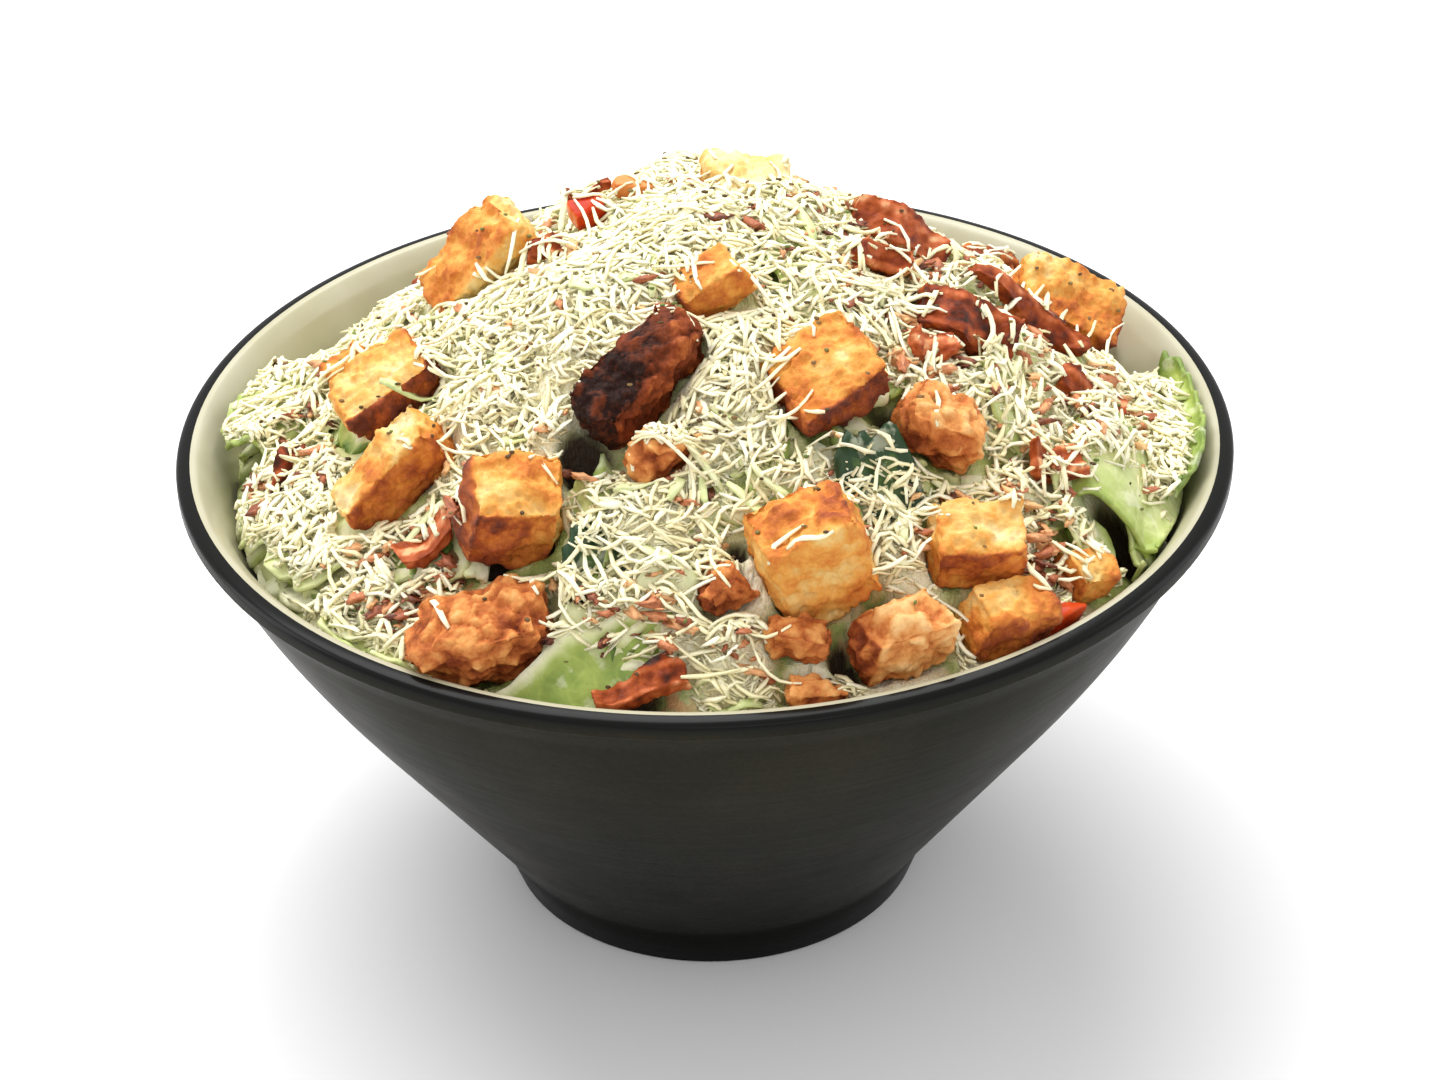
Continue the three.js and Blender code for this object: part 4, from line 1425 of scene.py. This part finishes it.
# %% Copies of one pattern, joined


def pattern_of(shape):
    """A small shape as an array of corners and an array of faces."""
    shape.verts.index_update()
    corners = np.array([vert.co for vert in shape.verts])
    faces = np.array([[vert.index for vert in face.verts] for face in shape.faces])
    shape.free()
    return corners, faces


def strand_pattern(stations):
    """A box from -1 to 1 with cuts across its length."""
    shape = bmesh.new()
    bmesh.ops.create_cube(shape, size=2)
    long_edges = [edge for edge in shape.edges if abs(edge.verts[0].co.x - edge.verts[1].co.x) > 1]
    if stations > 2:
        bmesh.ops.subdivide_edges(shape, edges=long_edges, cuts=stations - 2, use_grid_fill=True)
    return pattern_of(shape)


def joined(name, corners, faces, tones):
    """One mesh of many copies. corners is copies x corners x 3, in millimetres."""
    copies, each = corners.shape[:2]
    starts = np.arange(copies)[:, None, None] * each
    every_face = (faces[None] + starts).reshape(-1, faces.shape[1])
    mesh = bpy.data.meshes.new(name)
    mesh.from_pydata((corners.reshape(-1, 3) * MM).tolist(), [], every_face.tolist())
    tone = mesh.attributes.new("tone", "FLOAT", "POINT")
    tone.data.foreach_set("value", np.repeat(tones, each))
    return mesh


def bent_strands(paths, sizes):
    """The pattern's corners bent along each path, with a random twist and tapering ends."""
    stations = paths.shape[1]
    corners, faces = strand_pattern(stations)
    station = np.round((corners[:, 0] + 1) / 2 * (stations - 1)).astype(int)
    taper = 1 - 0.5 * np.abs(corners[:, 0]) ** 3
    forward = np.gradient(paths, axis=1)
    forward /= np.linalg.norm(forward, axis=2, keepdims=True)
    side = np.cross(np.array([0, 0, 1.0]), forward)
    side /= np.linalg.norm(side, axis=2, keepdims=True)
    over = np.cross(forward, side)
    twist = chance.normal(0, 0.5, len(paths))
    turn = twist[:, None, None] * np.linspace(-1, 1.4, stations)[None, :, None]
    wide = side * np.cos(turn) + over * np.sin(turn)
    foot_shaded_glaze = over * np.cos(turn) - side * np.sin(turn)
    wide_part = wide[:, station] * (corners[:, 1] * taper)[None, :, None] * sizes[:, None, :1] / 2
    thick_part = foot_shaded_glaze[:, station] * corners[:, 2][None, :, None] * sizes[:, None, 1:] / 2
    return paths[:, station] + wide_part + thick_part, faces


def strew(name, laid, finish, tones):
    """A finished piece of all the strands on some paths."""
    corners, faces = bent_strands(*laid)
    mesh = joined(name, corners, faces, chance.uniform(*tones, len(corners)))
    piece = place(mesh, name, [finish], ["salad"])
    print(name + ":", len(corners), "with", triangles(piece), "triangles")
    return piece


# %% [markdown]
# ## Grated cheese
# Hard cheese on a fine grater comes off as thin flat strands, well under a millimetre thick, that bow and
# taper, with crumbs and short ends among them. The crumbs run down into every gap, so they are laid
# first and line the bed. The strands come last. Light goes a little way into the cheese, so the shade
# between strands stays creamy.

# %% Cheese finish
CHEESES = [
    (0.0, tint(246, 234, 182)),
    (0.35, tint(255, 247, 204)),
    (0.7, tint(255, 252, 222)),
    (1.0, tint(253, 234, 180)),
]


def cheese_finish():
    """Hard cheese, a little deeper yellow in some strands and places than in others."""
    depth = {"Subsurface_Weight": 0.1, "Subsurface_Scale": 1 * MM, "Subsurface_Radius": (1.0, 0.9, 0.65)}
    finish = Finish("hard cheese", Roughness=0.5, Specular_IOR_Level=0.35, **depth)
    finish.toned("tone", CHEESES, (20, 2, 0.6), (1.5, 2, 0.2))
    finish.bump(finish.noise(0.6, 2), 0.08)
    return finish.material


hard_cheese = cheese_finish()


def cheese_likely(x, y):
    """How likely a strand lands at a place: sure in a drift and in patches elsewhere."""
    patch = noise.noise(Vector((x, y, 3)) / 5)
    return min(max(cheese_depth(x, y) / 3.2 + 0.7 * patch - hollow(x, y) / 2, 0), 1)


# %% Crumbs that line the bed
TONES = (0.1, 0.85)
CRUMB = Cut((1.6, 4.2), (0.7, 1.3), (0.22, 0.38), lift=0.12, stations=2)
LINING = 0.9  # depth of the crumbs on the level, and as much again on the flank
lined = heights + LINING + LINING * flank
laid = lay(CRUMB, 120000, 16300, cheese_likely, lined)
cheese = [strew("cheese_crumbs", laid, hard_cheese, TONES)]

# %% [markdown]
# ## Broken bits
# Every salad with bacon and crumbed chicken has small broken bits of both between the leaves. They
# gather where the large pieces are. Each is a lump from a sphere of eighty faces, squashed and
# dented its own way.

# %% Broken bits
BARE_ENOUGH = 0.5  # bits slide off what sheds more than this


def spin_and_lean():
    """A random turn about the upright axis with a slight lean."""
    spin = Matrix.Rotation(chance.uniform(0, 6), 3, "Z")
    return np.array(spin @ Matrix.Rotation(chance.uniform(-0.5, 0.5), 3, "X"))


def scatter_lumps(name, tries, sizes, finish):
    """One piece of many dented lumps that lie on the map."""
    ball = bmesh.new()
    bmesh.ops.create_icosphere(ball, subdivisions=2, radius=1)
    corners, faces = pattern_of(ball)
    made = []
    for number in range(tries):
        x, y = chance.uniform(-HEAP_RADIUS, HEAP_RADIUS, 2)
        spot = cells_at(np.array([x]), np.array([y]))
        size = blend(*sizes, chance.uniform() ** 2)
        inside = math.hypot(x, y) < HEAP_RADIUS - 2 - size
        stays = inside and chance.uniform() < bit_likely(x, y)
        if stays and heights[spot][0] > LOWEST_GROUND and shed[spot][0] < BARE_ENOUGH:
            shift = Vector((number, 0, 0))
            dents = np.array([noise.noise(Vector(corner) * 1.3 + shift) for corner in corners])
            turn = spin_and_lean()
            squash = size * np.array([1.2, chance.uniform(0.35, 0.65), chance.uniform(0.25, 0.45)])
            lump = (corners * (1 + 1.3 * dents)[:, None] * squash) @ turn.T
            lump += np.array([x, y, heights[spot][0] + 0.15 * size])
            np.maximum.at(heights, cells_at(lump[:, 0], lump[:, 1]), lump[:, 2])
            made.append(lump)
    mesh = joined(name, np.array(made), faces, chance.uniform(0, 1, len(made)))
    piece = place(mesh, name, [finish], ["salad"])
    print(name + ":", len(made), "with", triangles(piece), "triangles")


BITS = [
    (0.0, tint(240, 190, 130)),
    (0.3, tint(224, 160, 108)),
    (0.55, tint(200, 122, 78)),
    (0.8, tint(158, 84, 50)),
    (1.0, tint(96, 48, 28)),
]
bit_finish = Finish("fried bits", Roughness=0.5, Specular_IOR_Level=0.45)
bit_finish.toned("tone", BITS, (1.2, 3, 0.6))
bit_finish.bump(bit_finish.noise(0.6, 3), 0.25)
scatter_lumps("fried_bits", 17000, (0.6, 2.4), bit_finish.material)

# %% [markdown]
# ## Ribbons of romaine
# Knife-cut romaine leaves narrow crisp ribbons as well, pale green to white. A hundred or more lie
# between the toppings, over the larger leaves and under the cheese.

# %% Ribbons
RIBBONS = [
    (0.0, tint(244, 242, 212)),
    (0.4, tint(222, 228, 168)),
    (0.75, tint(172, 194, 102)),
    (1.0, tint(104, 140, 62)),
]
# Where the ribbons show: middle, how wide, and how likely one is there.
RIBBON_DRIFTS = [
    (-10, -68, 9, 0.9),
    (8, -87, 9, 0.9),
    (24, 32, 13, 0.8),
    (-58, -62, 13, 0.8),
    (-76, -22, 10, 0.8),
    (79, -22, 10, 0.8),
    (36, -52, 9, 0.6),
    (-34, 44, 14, 0.6),
]
RIBBON_RATE = 0.06
RIBBON = Cut((5, 13), (1.0, 2.0), (0.35, 0.5), lift=0.4, stations=7)


def ribbon_likely(x, y):
    """How likely a ribbon lands at a place."""
    return strongest(RIBBON_DRIFTS, x, y) + RIBBON_RATE


ribbon_finish = Finish("romaine ribbons", Roughness=0.45, Specular_IOR_Level=0.4)
ribbon_finish.toned("tone", RIBBONS, (4, 3, 0.6))
ribbon_finish.bump(ribbon_finish.noise(1.5, 3), 0.25)
laid = lay(RIBBON, 6000, 420, ribbon_likely, limits + 0.7)
strew("romaine_ribbons", laid, ribbon_finish.material, (0.0, 0.5))

# %% [markdown]
# The strands come down last, the short ones first. Each kind has its own cut and its own limit to how
# high it may pile. Few of the wide ones find room, and the long thin ones lie on top of all.

# %% Strands of cheese on top
SHORT = Cut((3, 8), (0.65, 1.05), (0.28, 0.42), lift=0.2, stations=4)
WIDE = Cut((6, 13), (0.8, 1.2), (0.35, 0.5), lift=0.3, stations=7)
LONG = Cut((5, 13), (0.55, 0.9), (0.28, 0.42), lift=0.3, stations=6)
# For each kind: its cut, the tries, the most that stay, and how far over the limit it may pile, on the
# level and then more on the flank.
STRANDS = {
    "cheese_short": (SHORT, 90000, 7000, 0.6, 1.2),
    "cheese_wide": (WIDE, 7000, 1500, 0.5, 0.0),
    "cheese_long": (LONG, 16000, 4000, 0.9, 1.2),
}
for name, (cut, tries, most, over, more) in STRANDS.items():
    laid = lay(cut, tries, most, cheese_likely, limits + over + more * flank)
    cheese.append(strew(name, laid, hard_cheese, TONES))
print("cheese:", sum(map(triangles, cheese)), "triangles, highest", round(heights.max(), 1), "mm")

# %% [markdown]
# ## Cracked pepper and dried herbs
# Dark flecks a millimetre or so across lie on everything. Each is a squashed grain of twenty faces,
# turned at random and set on the map of heights. Most are brown pepper, the greener ones are herbs.

# %% Pepper
FLECK_COUNT = 450


def fleck_places():
    """Corners of all flecks, on whatever the map holds, and the faces of one."""
    grain = bmesh.new()
    bmesh.ops.create_icosphere(grain, subdivisions=1, radius=1)
    corners, faces = pattern_of(grain)
    made = []
    while len(made) < FLECK_COUNT:
        turn = chance.uniform(0, 2 * math.pi)
        reach = SCATTER_REACH * chance.uniform() ** 0.5
        x, y = reach * math.cos(turn), reach * math.sin(turn)
        ground = heights[cells_at(np.array([x]), np.array([y]))][0]
        if ground > LOWEST_GROUND and reach < inside_radius(min(ground, BOWL_HEIGHT)) - 2:
            halves = [chance.uniform(0.4, 0.85), chance.uniform(0.3, 0.6), chance.uniform(0.15, 0.3)]
            turned = np.array(Matrix.Rotation(turn * 7, 3, "Z"))
            made.append((corners * np.array(halves)) @ turned.T + np.array([x, y, ground + 0.1]))
    return np.array(made), faces


pepper_finish = Finish("pepper and herbs", Roughness=0.8, Specular_IOR_Level=0.2)
pepper_stops = [(0.2, tint(84, 66, 44)), (0.6, tint(140, 110, 70)), (0.85, tint(104, 118, 60))]
pepper_finish.toned("tone", pepper_stops, (0.5, 2, 0.3))
fleck_corners, fleck_faces = fleck_places()
fleck_mesh = joined("pepper_flecks", fleck_corners, fleck_faces, chance.uniform(0, 1, FLECK_COUNT))
flecks = place(fleck_mesh, "pepper_flecks", [pepper_finish.material], ["salad"])
print("flecks:", FLECK_COUNT, "with", triangles(flecks), "triangles")
